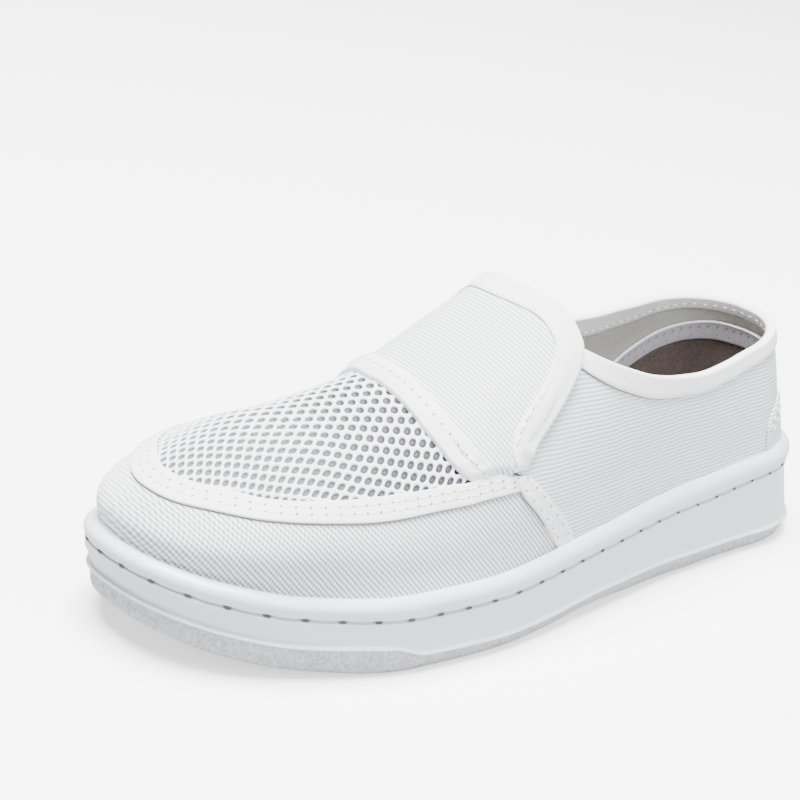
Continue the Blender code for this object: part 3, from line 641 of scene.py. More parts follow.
def flapPoint(along, across, lift):
    station = stationOf(along)
    behind = flapEdges(across)[0] - station
    loose = ease((smooth(sewnLine, "across", station) - np.abs(across)) / flapSet["tuck"])
    stand = form["gap"] + flapSet["stand"] * ease(behind / flapSet["ease"]) * loose
    flat = flapSet["sewnFlat"]
    return lastPoint(along, across, stand + lift * (flat + (1 - flat) * loose))


def nearLowEnd(across):
    return ramp(np.abs(across), flapSet["lowFrom"], flapSet["lowFull"])


def makeFlap():
    def placeAt(u, v):
        across = (flapSet["frontEnd"] + (flapSet["rearEnd"] - flapSet["frontEnd"]) * v) * (2 * u - 1)
        front, rear = flapEdges(across)
        front = front - flapSet["underHem"] / form["length"]
        rear = rear + (flapSet["underBinding"] + flapSet["underLowEnd"] * nearLowEnd(across)) / form["length"]
        return flapPoint(alongOf(front + (rear - front) * v), across, flapSet["sheetTop"])
    finishPiece("flap", layGrid(150, 56, placeAt), flapCloth, ("tongue",), wall=flapSet["wall"])


def makeFlapHem():
    top = flapSet["thickness"] + flapSet["hemHeight"]

    def placeAt(u, v):
        across = flapSet["frontEnd"] * (2 * u - 1)
        share, rise = tapeSection(v)
        inset = flapSet["hemWidth"] * (1 - share)
        low = np.where(share > flapSet["hemFootFrom"], flapSet["hemFoot"], flapSet["thickness"] - form["gap"])
        thin = flapSet["hemThin"] * ease(1 - inset / flapSet["hemThinWidth"])
        dent = dentLift(hemDents, across, inset) - thin
        along = alongOf(flapEdges(across)[0] + (flapSet["hemPast"] - inset) / form["length"])
        return flapPoint(along, across, low + (top + dent - low) * rise)
    bm = layGrid(180, 32, placeAt, closeEnds=True)
    finishPiece("flapHem", bm, tapeCloth, ("tongue_hem",))


def flapBindingLine(count):
    # places along the free edge, and the way in from it
    across = flapSet["rearEnd"] * np.linspace(-1, 1, count)
    along = alongOf(flapEdges(across)[1])
    run = unit(np.gradient(flapPoint(along, across, flapSet["thickness"] / 2), axis=0))
    ahead, down, out = (unit(way) for way in directions(along, across))
    inward = np.cross(run, out)
    mix = np.sum(ahead * down, axis=1)
    toAhead, toDown = np.sum(inward * ahead, axis=1), np.sum(inward * down, axis=1)
    forward = (toAhead - mix * toDown) / (1 - mix**2)
    outward = (toDown - mix * toAhead) / (1 - mix**2)
    return along, across, forward, outward


foldSet = {"tuck": 0.15, "tuckWidth": 1.2, "wall": 0.55}      # a folded tape's edges are sewn down


def foldPath(q, outer, inner, roundOut, halfThick):
    # distance in from the edge and lift from the middle, round a folded tape with its two legs
    turn = 0.5 * np.pi * (roundOut + halfThick)
    total = outer + turn + inner
    s = q * total
    angle = np.clip((s - outer) / turn, 0, 1) * np.pi
    inward = np.maximum(outer - s, s - outer - turn)
    inward = np.where(inward > 0, inward, -roundOut * np.sin(angle))
    tuck = 1 - foldSet["tuck"] * ease(1 - np.minimum(s, total - s) / foldSet["tuckWidth"])
    return inward, halfThick * np.cos(angle) * tuck


def makeFlapBinding():
    count = 170
    along, across, forward, outward = flapBindingLine(count + 1)

    def placeAt(u, v):
        i = np.rint(u * count).astype(int)
        width = flapSet["bindingWidth"]
        inward, lift = foldPath(v, width, width, flapSet["bindingRound"], flapSet["bindingHalf"])
        onLast = shiftOnLast(along[i], across[i], forward[i] * inward, outward[i] * inward)
        droop = flapSet["droop"] * nearLowEnd(across[i]) * ease(1 - inward / flapSet["droopWidth"])
        dent = dentLift(bindingDents, across[i], inward) - droop
        return flapPoint(*onLast, flapSet["thickness"] / 2 + lift + dent)
    bm = layGrid(count, 44, placeAt)
    finishPiece("flapBinding", bm, tapeCloth, ("tongue_binding",), wall=foldSet["wall"])


# Canvas panels of the upper

panelSet = {
    "throat": 0.497, "sideTop": 0.645, "sideSeamTop": 0.602, "sideSeamFoot": 0.516, "lap": 0.026, "wall": 0.8,
    "press": 0.5, "pressFrom": 0.86, "pressFull": 0.95, "flapFrom": 0.60, "flapPast": 0.645, "toeTop": 0.31,
    "toeClear": 0.001,
}
vampTapeLine = sizesOf("station lower upper", (
    (0.600, 0.712, 0.662), (0.613, 0.702, 0.645), (0.621, 0.696, 0.624), (0.633, 0.687, 0.603),
    (0.646, 0.677, 0.589), (0.660, 0.668, 0.583), (0.675, 0.661, 0.577), (0.690, 0.651, 0.560),
    (0.720, 0.635, 0.543), (0.790, 0.613, 0.507), (0.850, 0.600, 0.494), (0.920, 0.545, 0.440),
    (0.980, 0.480, 0.355), (1.000, 0.470, 0.345),
))


def tapeMiddle(station):
    return 0.5 * (smooth(vampTapeLine, "lower", station) + smooth(vampTapeLine, "upper", station))


def sideSeam(reach):
    # station of the seam under the side tapes
    return np.interp(reach, (panelSet["sideTop"], 1.0), (panelSet["sideSeamTop"], panelSet["sideSeamFoot"]))


def canvasPoint(along, across):
    # pressed out against the rim at its foot
    near = ramp(np.abs(across), panelSet["pressFrom"], panelSet["pressFull"])
    return lastPoint(along, across, panelSet["press"] * near)


def makeQuarter():
    throat = alongOf(panelSet["throat"])

    def placeAt(u, v):
        side = np.where(u < 0.5, -1.0, 1.0)
        frontReach = 1 + (bySide(collarTable, throat + 0 * u, side) - 1) * v
        underFlap = flapEdges(side * frontReach)[0] - panelSet["lap"]
        pastFlap = ramp(frontReach, panelSet["flapFrom"], panelSet["flapPast"])
        front = underFlap + (sideSeam(frontReach) - underFlap) * pastFlap
        along = alongOf(front) * np.abs(2 * u - 1)
        top = bySide(collarTable, np.minimum(along, throat), side)
        return canvasPoint(along, side * (1 + (top - 1) * v))
    bm = layGrid(320, 56, placeAt)
    finishPiece("quarter", bm, quarterCloth, ("upper",), wall=panelSet["wall"])


def makeToeCanvas():
    def placeAt(u, v):
        start = alongOf(sideSeam(1 - panelSet["toeTop"] * v) + panelSet["toeClear"])
        along = start + (2 - 2 * start) * u
        return canvasPoint(along, 1 + (tapeMiddle(stationRound(along)) - 1) * v)
    finishPiece("toeCanvas", layGrid(300, 40, placeAt), toeCanvasCloth, wall=panelSet["wall"])


# Air mesh on the vamp: a slanted lattice of oval holes, pressed into the sheet, with shade painted into the
# same places

meshSet = {
    "latticeA": (-2.92, 3.77), "latticeB": (2.24, 2.75), "firstHole": (17.3, -65.1, 60.7),
    "columns": 440, "rows": 104, "proud": 0.3, "depth": 1.0, "wall": 0.25,
    "flapReach": 0.645, "underFlap": 0.022,
    "holeFrom": -0.64, "holeFull": 0.13, "sinkFrom": -1.04, "sinkFull": 0.93,
    "slantFrom": -50.0, "slantTo": 10.0, "slantToe": 0.28, "slantBack": 0.85,      # how the ovals lean
    "crowdFrom": 85.0, "crowdFull": 115.0, "crowd": 0.6,      # the holes close up towards the toe
    "top": (0.60, 0.84), "tipReach": 0.62, "spread": 0.20, "spreadReach": 40.0,
}
meshLook = {
    "light": (247, 248, 251), "shade": (214, 216, 222), "roughness": 0.8, "scale": 1500.0,
    "bump": 0.4, "depth": 0.3, "uvSize": 100.0,
    # the hole colours are painted shade inside the holes, paler towards the toe
    "hole": (46, 48, 54), "holeFloor": (80, 82, 89), "toeHole": (102, 104, 111),
    "aside": (-0.16, 0.14), "floorSeen": (1.0, 2.4),      # the layer below shows on one side of each hole, painted lighter there than the shade in the rest of the hole
}


def centreLine():
    stations = np.linspace(*meshSet["top"], 80)
    top = np.stack([yOf(stations), smooth(crest, "height", stations)], -1)
    tip = bareLast(np.ones(60), np.linspace(0, meshSet["tipReach"], 60))[:, 1:]
    line = np.concatenate([top, tip[1:]])
    crowd = 1 + meshSet["crowd"] * ramp(-line[1:, 0], meshSet["crowdFrom"], meshSet["crowdFull"])
    run = np.concatenate([[0.0], np.cumsum(crowd * np.linalg.norm(np.diff(line, axis=0), axis=1))])
    return line[::-1, 0], line[::-1, 1], run[::-1]


def spreadCloth(places):
    # lay the cloth flat, in millimetres: across the foot, and along it towards the heel
    lineY, lineZ, lineRun = centreLine()
    y = places[:, 1]
    middleX = smooth(crest, "x", stationAt(y)) - form["centre"][0]
    drop = np.interp(y, lineY, lineZ) - places[:, 2]
    reach = np.hypot(places[:, 0] - middleX, drop)
    arc = reach * (1 + meshSet["spread"] * (reach / meshSet["spreadReach"]) ** 2)
    return np.stack([middleX + np.sign(places[:, 0] - middleX) * arc, -np.interp(y, lineY, lineRun)], -1)


latticeWays = np.linalg.inv(np.array([meshSet["latticeA"], meshSet["latticeB"]]).T)


def meshCloth(places):
    return spreadCloth(places) - spreadCloth(np.array([meshSet["firstHole"]]))


def holeWave(cloth):
    # 3 at the middle of a hole, down to about -1 between holes
    a, b = 2 * np.pi * (cloth @ latticeWays.T).T
    back = ramp(cloth[:, 1], meshSet["slantFrom"], meshSet["slantTo"])
    lean = meshSet["slantToe"] + (meshSet["slantBack"] - meshSet["slantToe"]) * back
    return np.cos(a) + np.cos(b) + lean * np.cos(a + b) + (1 - lean) * np.cos(a - b)


def makeVampMesh():
    def onLast(u, v):
        side = np.where(u < 0.5, 1.0, -1.0)
        start = alongOf(flapEdges(side * meshSet["flapReach"] * (1 - v))[0] - meshSet["underFlap"])
        along = start + (1 - start) * (1 - np.abs(2 * u - 1))
        return along, side * tapeMiddle(stationOf(along)) * (1 - v)

    def clothAt(u, v):
        return meshCloth(bareLast(*onLast(u, v)))

    def placeAt(u, v):
        sink = ramp(holeWave(clothAt(u, v)), meshSet["sinkFrom"], meshSet["sinkFull"])
        return lastPoint(*onLast(u, v), meshSet["proud"] - meshSet["depth"] * sink)

    def uvAt(u, v):
        return clothAt(u, v) / meshLook["uvSize"]
    bm = layGrid(meshSet["columns"], meshSet["rows"], placeAt, uvAt)
    finishPiece("vampMesh", bm, meshMaterial(), wall=meshSet["wall"])


def holeNodes(tree, a, b, lean):
    both = mathNode(tree, "ADD", waveNode(tree, a), waveNode(tree, b))
    plus = waveNode(tree, mathNode(tree, "ADD", a, b))
    minus = waveNode(tree, mathNode(tree, "SUBTRACT", a, b))
    leaning = mathNode(tree, "MULTIPLY", mathNode(tree, "SUBTRACT", plus, minus), lean)
    return mathNode(tree, "ADD", both, mathNode(tree, "ADD", leaning, minus))


def meshMaterial():
    material, tree, shader, grain = startMaterial("air mesh", meshLook, grainGroup)
    grain.inputs["Scale"].default_value = meshLook["scale"]
    cloth = tree.nodes.new("ShaderNodeUVMap")
    cloth.uv_map = "cloth"
    a, b = (dotNode(tree, cloth.outputs["UV"], (*(way * meshLook["uvSize"]), 0.0)) for way in latticeWays)
    along = dotNode(tree, cloth.outputs["UV"], (0.0, meshLook["uvSize"], 0.0))
    back = rangeNode(tree, along, meshSet["slantFrom"], meshSet["slantTo"])
    toe = meshSet["slantToe"]
    lean = mathNode(tree, "MULTIPLY_ADD", back, meshSet["slantBack"] - toe, toe)
    hole = rangeNode(tree, holeNodes(tree, a, b, lean), meshSet["holeFrom"], meshSet["holeFull"])
    aside = (mathNode(tree, "ADD", turns, step) for turns, step in zip((a, b), meshLook["aside"]))
    under = rangeNode(tree, holeNodes(tree, *aside, lean), *meshLook["floorSeen"])
    deep = mixColours(tree, under, meshLook["hole"], meshLook["holeFloor"])
    deep = mixColours(tree, back, meshLook["toeHole"], deep)
    thread = mixColours(tree, grain.outputs["Height"], meshLook["light"], meshLook["shade"])
    tree.links.new(mixColours(tree, hole, thread, deep), shader.inputs["Base Color"])
    addBump(tree, shader, grain.outputs["Height"], meshLook)
    return material


# Tapes over the seams

tapeSet = {
    "vampFrom": 0.600, "low": 0.12, "vampHigh": 1.15, "vampLength": 300.0,
    "sideHigh": 1.6, "sideLength": 34.0, "sideClear": 0.02, "frontTop": 0.640, "rearTop": 0.676,
    "stitchPitch": 4.3, "pucker": 0.10, "fold": 0.22, "foldAt": 0.52, "foldWidth": 0.1,
    "vampSeams": (0.36, 0.68), "vampSewn": (0.012, 0.988), "sideSeams": (0.2, 0.78), "sideSewn": (0.04, 0.97),
}
sideTapeLine = sizesOf("rise front rear", (
    (0.00, 0.531, 0.501), (0.15, 0.548, 0.516), (0.40, 0.573, 0.541), (0.72, 0.600, 0.568),
    (1.00, 0.613, 0.590),
))


def vampTapeEdges(u):
    start = alongOf(tapeSet["vampFrom"])
    along = start + (2 - 2 * start) * u
    return [(along, smooth(vampTapeLine, edge, stationRound(along))) for edge in ("lower", "upper")]


def sideTapeEdges(side):
    def edgesAt(u):
        edges = []
        for edge, top in (("front", tapeSet["frontTop"]), ("rear", tapeSet["rearTop"])):
            along = alongOf(smooth(sideTapeLine, edge, u))
            low = bySide(rimTable, along, side) + tapeSet["sideClear"]
            edges.append((along, side * (low + (top - low) * u)))
        return edges
    return edgesAt


def puckered(length, fold=0.0):
    # the tape swells a little between the needle holes, and may have a fold along its middle
    def liftAt(u, share):
        swell = np.sin(np.pi * u * length / tapeSet["stitchPitch"]) ** 2
        crease = fold * np.exp(-((share - tapeSet["foldAt"]) / tapeSet["foldWidth"]) ** 2)
        return tapeSet["pucker"] * (swell - 0.5) * np.sin(np.pi * share) - crease
    return liftAt


def makeTapes():
    bm = layStrip(420, vampTapeEdges, tapeSet["low"], tapeSet["vampHigh"], puckered(tapeSet["vampLength"]))
    finishPiece("vampTape", bm, tapeCloth, ("vamp_tape",))
    liftAt = puckered(tapeSet["sideLength"], tapeSet["fold"])
    sides = ((1, "sideTapeLateral", "side_tape_lateral"), (-1, "sideTapeMedial", "side_tape_medial"))
    for side, name, node in sides:
        bm = layStrip(70, sideTapeEdges(side), tapeSet["low"], tapeSet["sideHigh"], liftAt, turns=48)
        finishPiece(name, bm, tapeCloth, (node,))


# Collar: a tape folded over the top line

collarSet = {
    "front": 0.505, "outer": 1.0, "inner": -2.6, "roundOut": 1.1,
    "seamIn": 2.0, "seamUnder": 0.1, "sewn": 0.985,
}
collarWidth = sizesOf("station outside inside", (
    (0.00, 4.9, 3.9), (0.05, 4.9, 4.1), (0.12, 4.9, 5.4), (0.20, 5.1, 6.7), (0.28, 5.6, 7.2),
    (0.34, 6.2, 7.8), (0.40, 6.9, 8.5), (0.50, 7.2, 8.8),
))


def makeCollarBinding():
    half = alongOf(collarSet["front"])
    outer, inner = collarSet["outer"], collarSet["inner"]

    def placeAt(u, v):
        along, side = roundHeel(u, half)
        outside, inside = (smooth(collarWidth, k, stationOf(along)) for k in ("outside", "inside"))
        inward, lift = foldPath(v, outside, inside, collarSet["roundOut"], (outer - inner) / 2)
        up = -side[:, None] * unit(directions(along, belowCollar(along, side, 0.0))[1])
        across = belowCollar(along, side, np.maximum(inward, 0))
        return lastPoint(along, across, (outer + inner) / 2 + lift) + up * np.maximum(-inward, 0)[:, None]
    bm = layGrid(260, 40, placeAt)
    finishPiece("collarBinding", bm, tapeCloth, ("collar_binding",), wall=foldSet["wall"])


# Heel stay and the inside of the shoe

heelSet = {
    "half": 0.157, "height": 17.5, "power": 3.0, "end": 0.985, "foot": 0.05, "proud": 0.9, "wall": 0.7,
    "flare": 3.8, "fade": 1.3,       # it stands out at its foot, over the heel's stiffener
    "rimClear": 0.4, "turnIn": 0.6, "turnFrom": 0.93, "seams": (2.2, 5.2),
}


def heelStayAcross(along, side, inset):
    half = heelSet["half"] - inset / edgeLength
    roundTop = np.clip(1 - (along / half) ** heelSet["power"], 0, 1) ** (1 / heelSet["power"])
    top = (heelSet["height"] - inset) * roundTop
    over = heelSet["rimClear"] + top[:, None]
    return acrossAt(along, side, lambda station, a: smooth(soleSide, "rim", station) + over)


def heelStayLift(along, rise):
    flare = heelSet["flare"] * (1 - (along / heelSet["half"]) ** 2)
    return heelSet["proud"] + flare * np.clip(1 - rise, 0, 1) ** heelSet["fade"]


def makeHeelStay():
    end = heelSet["end"] * heelSet["half"]

    def placeAt(u, v):
        along, side = roundHeel(u, end)
        low = bySide(rimTable, along, side) + heelSet["foot"]
        high = byColumn(u, lambda columns: heelStayAcross(*roundHeel(columns, end), 0.0))
        lift = heelStayLift(along, v) - heelSet["turnIn"] * ramp(v, heelSet["turnFrom"], 1.0)
        return lastPoint(along, side * (low + (high - low) * v), lift)
    bm = layGrid(90, 30, placeAt)
    finishPiece("heelStay", bm, quarterCloth, ("heel_stay",), wall=heelSet["wall"])


liningSet = {"lift": -1.3, "lap": 0.012, "wall": 0.35}


def makeLining():
    def placeAt(u, v):
        along, side = roundHeel(u, 1.0)
        top = bySide(collarTable, along, side)
        top = np.where(top > 0, top + liningSet["lap"], 0.0)
        return lastPoint(along, side * (1 + (top - 1) * v), liningSet["lift"])
    bm = layGrid(320, 50, placeAt, facing="in")
    finishPiece("lining", bm, liningCloth, wall=liningSet["wall"])


heelPatch = sizesOf("along brown tape", (      # heights of the brown patch and of the tape round it
    (0.000, 59.7, 66.9), (0.050, 59.3, 66.6), (0.096, 57.5, 64.8), (0.141, 53.6, 61.4),
    (0.175, 49.5, 57.8), (0.209, 44.9, 53.2), (0.237, 39.5, 46.8), (0.262, 33.0, 38.5),
))
patchSet = {
    "end": 0.258, "lift": -1.75, "wall": 0.4, "foot": 0.995, "underTape": 0.1,
    "tapeLow": -1.6, "tapeHigh": -2.5, "cord": 0.07, "cordHigh": -2.8,
    "seams": ((0.28, "patch"), (0.70, "overlock")), "sewn": (0.01, 0.99),
}


def patchAcross(u, column):
    def heightAt(station, along):
        return smooth(heelPatch, column, along)
    return byColumn(u, lambda columns: acrossAt(*roundHeel(columns, patchSet["end"]), heightAt))


def patchEdges(first, last):
    # two lines round the heel, as shares of the way from the brown edge to the tape's top
    def edgesAt(u):
        along, side = roundHeel(u, patchSet["end"])
        brown, tape = patchAcross(u, "brown"), patchAcross(u, "tape")
        return [(along, side * (brown + (tape - brown) * share)) for share in (first, last)]
    return edgesAt


def makeHeelPatch():
    def placeAt(u, v):
        along, across = patchEdges(-patchSet["underTape"], 1)(u)[0]
        foot = patchSet["foot"] * np.sign(across)
        return lastPoint(along, foot + (across - foot) * v, patchSet["lift"])
    bm = layGrid(120, 24, placeAt, facing="in")
    finishPiece("heelPatch", bm, brownCloth, wall=patchSet["wall"])
    low = patchSet["tapeLow"]
    bm = layStrip(150, patchEdges(0, 1), low, patchSet["tapeHigh"])
    finishPiece("heelPatchTape", bm, patchTapeCloth)
    bm = layStrip(150, patchEdges(1 - patchSet["cord"], 1), low, patchSet["cordHigh"], turns=12)
    finishPiece("heelPatchCord", bm, tapeCloth)


def acrossSole(along, share, inset):
    # a place between the two edges of the sole
    lateral, medial = (edgePoint(along, side, inset) for side in (1.0, -1.0))
    return medial + (lateral - medial) * share[:, None]


insoleSet = {"inset": 7.8, "top": 3.8, "edgeRise": 0.8, "edgePower": 6, "wall": 3.0}


def makeInsole():
    def placeAt(u, v):
        share = 0.5 - 0.5 * np.cos(np.pi * v)
        flat = acrossSole(u, share, insoleSet["inset"] - smooth(soleSide, "highOut", stationOf(u)))
        edge = insoleSet["edgeRise"] * np.abs(2 * share - 1) ** insoleSet["edgePower"]
        floor = smooth(soleSide, "rim", stationAt(flat[:, 1])) - form["cupDepth"]
        return np.column_stack([flat, floor + insoleSet["top"] + edge])
    bm = layGrid(160, 40, placeAt, facing="in")
    finishPiece("insole", bm, brownCloth, ("insole",), wall=insoleSet["wall"])


# Sole: rings set from the lines on its side, 0 bottom, 1 step, 2 stitch and 3 rim

midsoleRings = sizesOf("line inset rise", (
    (1, 3.0, 0.15), (1, 0.75, 0.15), (1, 0.10, 0.25), (1, -0.22, 0.50), (1, -0.22, 0.80), (1, 0.15, 1.05),
    (1, 0.75, 1.25), (1, 0.95, 1.55), (1, 0.95, 2.4), (2, 0.88, -3.0), (2, 0.75, -1.2), (2, 0.66, -0.75),
    (2, 0.72, -0.5), (2, 1.15, -0.30), (2, 1.7, -0.12), (2, 1.75, 0.08), (2, 1.4, 0.26), (2.07, 0.95, 0.0),
    (2.15, 0.62, 0.0), (2.27, 0.34, 0.0), (2.42, 0.17, 0.0), (2.56, 0.18, 0.0), (2.69, 0.45, 0.0),
    (2.80, 0.95, 0.0), (2.89, 1.65, 0.0), (2.96, 2.45, 0.0), (3, 3.3, 0.0), (3, 4.1, -0.15), (3, 4.75, -0.8),
    (3, 5.05, -2.2), (3, 5.1, -7.9),
))
soleSet = {
    "around": 1400, "grooveRow": 14.6, "grooveRows": 3.0, "holes": 61, "holePitch": 10.7, "scallop": 0.5,
    "pitLength": (0.65, 1.25), "pitGrows": (0.3, 0.65),      # longer at the toe
    "pitDepth": 0.8, "pitRows": 1.5, "pitHeight": 0.42, "pitThick": 0.3, "pitInset": 0.75, "pitRise": 0.145,
    "rimRow": 25.5, "rimRows": 2.5,
}
rimKinks = sizesOf("station width depth", (
    (0.205, 0.9, 0.45), (0.235, 0.8, 0.35), (0.52, 1.2, 0.25), (0.80, 1.0, 0.2),
))


def ringAt(rings, row):
    return (np.interp(row, np.arange(len(column)), column) for column in rings.values())


def ringPoint(loop, line, inset, rise):
    # a point on the sole's side; loop goes once round from the heel over the lateral side
    along, side = unfold(loop, 1.0)
    station = stationOf(along)
    lines = np.stack([smooth(soleSide, name, station) for name in ("bottom", "step", "stitch", "rim")])
    outs = np.stack([smooth(soleSide, name, station) for name in ("lowOut", "lowOut", "highOut", "highOut")])
    low = np.floor(np.clip(line, 0, 3)).astype(int)
    high = np.minimum(low + 1, 3)
    share = np.clip(line, 0, 3) - low
    pick = np.arange(len(along))
    z = lines[low, pick] * (1 - share) + lines[high, pick] * share + rise
    out = outs[low, pick] * (1 - share) + outs[high, pick] * share
    return np.column_stack([edgePoint(along, side, inset - out), z])


def pitHalf(loop):
    return np.interp(stationRound(loop), soleSet["pitGrows"], soleSet["pitLength"])


def stitchPit(u, row):
    # 1 in a stitch hole of the sole's groove, and how far along from hole to hole
    phase = (u * soleSet["holes"]) % 1.0
    near = np.minimum(phase, 1 - phase) * soleSet["holePitch"]
    offRow = (row - soleSet["grooveRow"]) / soleSet["pitRows"]
    return np.exp(-(near / pitHalf(2 * u)) ** 4 - offRow**4), phase


def makeMidsole():
    count = len(midsoleRings["line"]) - 1

    def placeAt(u, v):
        row = v * count
        line, inset, rise = ringAt(midsoleRings, row)
        pit, phase = stitchPit(u, row)
        inGroove = np.exp(-((row - soleSet["grooveRow"]) / soleSet["grooveRows"]) ** 4)
        rise = rise - soleSet["scallop"] * inGroove * (np.sin(np.pi * phase) - 0.5)
        onRim = ((row - soleSet["rimRow"]) / soleSet["rimRows"]) ** 2
        for atStation, width, depth in zip(*rimKinks.values()):
            off = (stationOf(2 * u) - atStation) * form["length"] / width
            rise = rise - depth * np.exp(-off**2 - onRim) * (u < 0.5)
        return ringPoint(2 * u, line, inset + soleSet["pitDepth"] * pit, rise)
    bm = layGrid(soleSet["around"], count, placeAt, closeEnds=True)
    finishPiece("midsole", bm, soleRubber, ("midsole",))


def makeSolePits():
    # dark beads painted as the shade in the sole's stitch holes
    bm = bmesh.new()
    loop = 2 * np.arange(soleSet["holes"]) / soleSet["holes"]

    def grooveAt(step, deeper):
        inset = soleSet["pitInset"] + deeper
        return ringPoint((loop + step) % 2, np.full_like(loop, 2.0), inset, soleSet["pitRise"])
    at, ahead, deep = grooveAt(0.0, 0.0), grooveAt(form["nudge"] / 2, 0.0), grooveAt(0.0, 1.0)
    for place, run, out, half in zip(at, ahead - at, at - deep, pitHalf(loop)):
        addBead(bm, place, run, out, half, soleSet["pitHeight"], soleSet["pitThick"])
    finishPiece("solePits", bm, pitShade)


outsoleRings = sizesOf("line inset rise", (
    (0, 4.6, 0.0), (0, 3.4, 0.12), (0, 2.5, 0.6), (0, 1.85, 1.3), (0, 1.5, 2.2), (1, 1.15, -0.9),
    (1, 1.1, 0.1),
))
treadSpine = sizesOf("station x", (
    (0.11, 2.0), (0.20, -4.0), (0.30, -6.0), (0.40, -3.0), (0.47, -12.0), (0.52, -2.0), (0.57, 14.0),
    (0.64, 24.0), (0.72, 20.0), (0.80, 11.0), (0.87, 3.0), (0.93, -6.0),
))
treadBlock = sizesOf("station x", (
    (0.595, -28.0), (0.62, -19.0), (0.66, -12.5), (0.70, -14.5), (0.78, -22.0), (0.83, -24.0),
))
lateralGrooves = sizesOf("station slant skip reach", (
    (0.135, 0.20, 3, 24), (0.205, 0.22, 3, 30), (0.275, 0.24, 3, 32), (0.345, 0.10, 3, 30),
    (0.425, -0.50, 3, 25), (0.500, -0.80, 3, 22), (0.545, 0.75, 1, 26), (0.600, -0.15, 0, 22),
    (0.632, 0.00, 7, 20), (0.665, 0.05, 0, 24), (0.696, 0.10, 8, 28), (0.727, 0.17, 0, 27),
    (0.756, 0.22, 9, 30), (0.786, 0.22, 0, 30), (0.822, 0.70, 0, 26), (0.862, 0.70, 0, 25),
    (0.900, 0.65, 0, 20),
))
medialGrooves = sizesOf("station slant skip reach", (
    (0.125, -0.35, 4, 24), (0.200, -0.35, 4, 24), (0.275, 0.05, 3, 22), (0.320, -0.30, 3, 21),
    (0.365, -0.40, 6, 20), (0.430, -0.60, 3, 20), (0.490, -0.60, 4, 16), (0.547, 0.59, 0, 27),
    (0.620, 0.11, 0, 38), (0.681, 0.03, 0, 36), (0.739, -0.07, 0, 35), (0.790, -0.13, 0, 34),
    (0.845, 0.06, 0, 40), (0.905, 0.34, 0, 26),
))
edgeGrooves = sizesOf("station x endStation endX", (
    (0.572, -12.0, 0.530, -30.0), (0.699, -16.0, 0.660, -44.0), (0.750, -21.0, 0.756, -46.0),
))
treadSet = {"border": 6.5, "lengthwise": 150, "crosswise": 24, "sharpAngle": 0.7}
grooveProfile = sizesOf("side rise", (      # wider at its mouth, with a round bottom
    (1.15, -2.0), (-1.15, -2.0), (-0.85, 0.4), (-0.72, 1.5), (-0.3, 2.0), (0.3, 2.0), (0.72, 1.5),
    (0.85, 0.4),
))


def insideBorder(points):
    along = alongOf(stationAt(points[:, 1]))
    outer, inner = (edgePoint(along, side, treadSet["border"])[:, 0] for side in (1.0, -1.0))
    return points[(points[:, 0] < outer) & (points[:, 0] > inner)]


def treadLines():
    lines = []
    for curve, count in ((treadSpine, 60), (treadBlock, 16)):
        station = np.linspace(curve["station"][0], curve["station"][-1], count)
        lines.append(np.column_stack([smooth(curve, "x", station), yOf(station)]))
    for rows, side in ((lateralGrooves, 1), (medialGrooves, -1)):
        for station, slant, skip, reach in zip(*rows.values()):
            out = np.linspace(skip, reach, 60)
            x = smooth(treadSpine, "x", station) + side * out
            lines.append(insideBorder(np.column_stack([x, yOf(station) - slant * out]))[[0, -1]])
    for station, x, endStation, endX in zip(*edgeGrooves.values()):
        share = np.linspace(0, 1, 60)
        y = yOf(station + (endStation - station) * share)
        lines.append(insideBorder(np.column_stack([x + (endX - x) * share, y]))[[0, -1]])
    return lines


def joinInto(whole, bm):
    part = meshOf("part", bm)
    whole.from_mesh(part)
    bpy.data.meshes.remove(part)


def grooveBars():
    bars = bmesh.new()
    corners = len(grooveProfile["side"])
    for line in treadLines():
        run = unit(np.gradient(line, axis=0))
        sideways = np.column_stack([run[:, 1], -run[:, 0]])
        floor = smooth(soleSide, "bottom", stationAt(line[:, 1]))

        def placeAt(u, v):
            i = np.rint(u * (len(line) - 1)).astype(int)
            j = np.rint(v * corners).astype(int) % corners
            return np.column_stack([line[i] + sideways[i] * grooveProfile["side"][j, None],
                                    floor[i] + grooveProfile["rise"][j]])
        joinInto(bars, layGrid(len(line) - 1, corners, placeAt, closeEnds=True))
    return bars


def makeOutsole():
    steps = len(outsoleRings["line"]) - 1

    def sideAt(u, v):
        return ringPoint(2 * u, *ringAt(outsoleRings, v * steps))

    def levelAt(line, row):
        # closes the sides at their first or last ring
        def placeAt(u, v):
            reach = outsoleRings["inset"][row] - smooth(soleSide, "lowOut", stationOf(u))
            height = smooth(soleSide, line, stationOf(u)) + outsoleRings["rise"][row]
            return np.column_stack([acrossSole(u, v, reach), height])
        return placeAt

    whole = bmesh.new()
    lengthwise = treadSet["lengthwise"]
    joinInto(whole, layGrid(2 * lengthwise, 2 * steps, sideAt))
    joinInto(whole, layGrid(lengthwise, treadSet["crosswise"], levelAt("bottom", 0)))
    joinInto(whole, layGrid(lengthwise, 4, levelAt("step", -1)))
    bmesh.ops.remove_doubles(whole, verts=whole.verts, dist=2 * form["weld"] * mm)
    bmesh.ops.recalc_face_normals(whole, faces=whole.faces)
    outsole = finishPiece("outsole", whole, treadRubber, ("outsole",))
    cutter = addObject("grooveBars", meshOf("grooveBars", grooveBars()))
    cut = outsole.modifiers.new("tread", "BOOLEAN")
    cut.operation = "DIFFERENCE"
    cut.solver = "EXACT"
    cut.use_self = True
    cut.object = cutter
    bpy.context.view_layer.update()
    carved = bpy.data.meshes.new_from_object(outsole.evaluated_get(bpy.context.evaluated_depsgraph_get()))
    outsole.modifiers.clear()
    outsole.data = carved
    bpy.data.objects.remove(cutter)
    carved.set_sharp_from_angle(angle=treadSet["sharpAngle"])
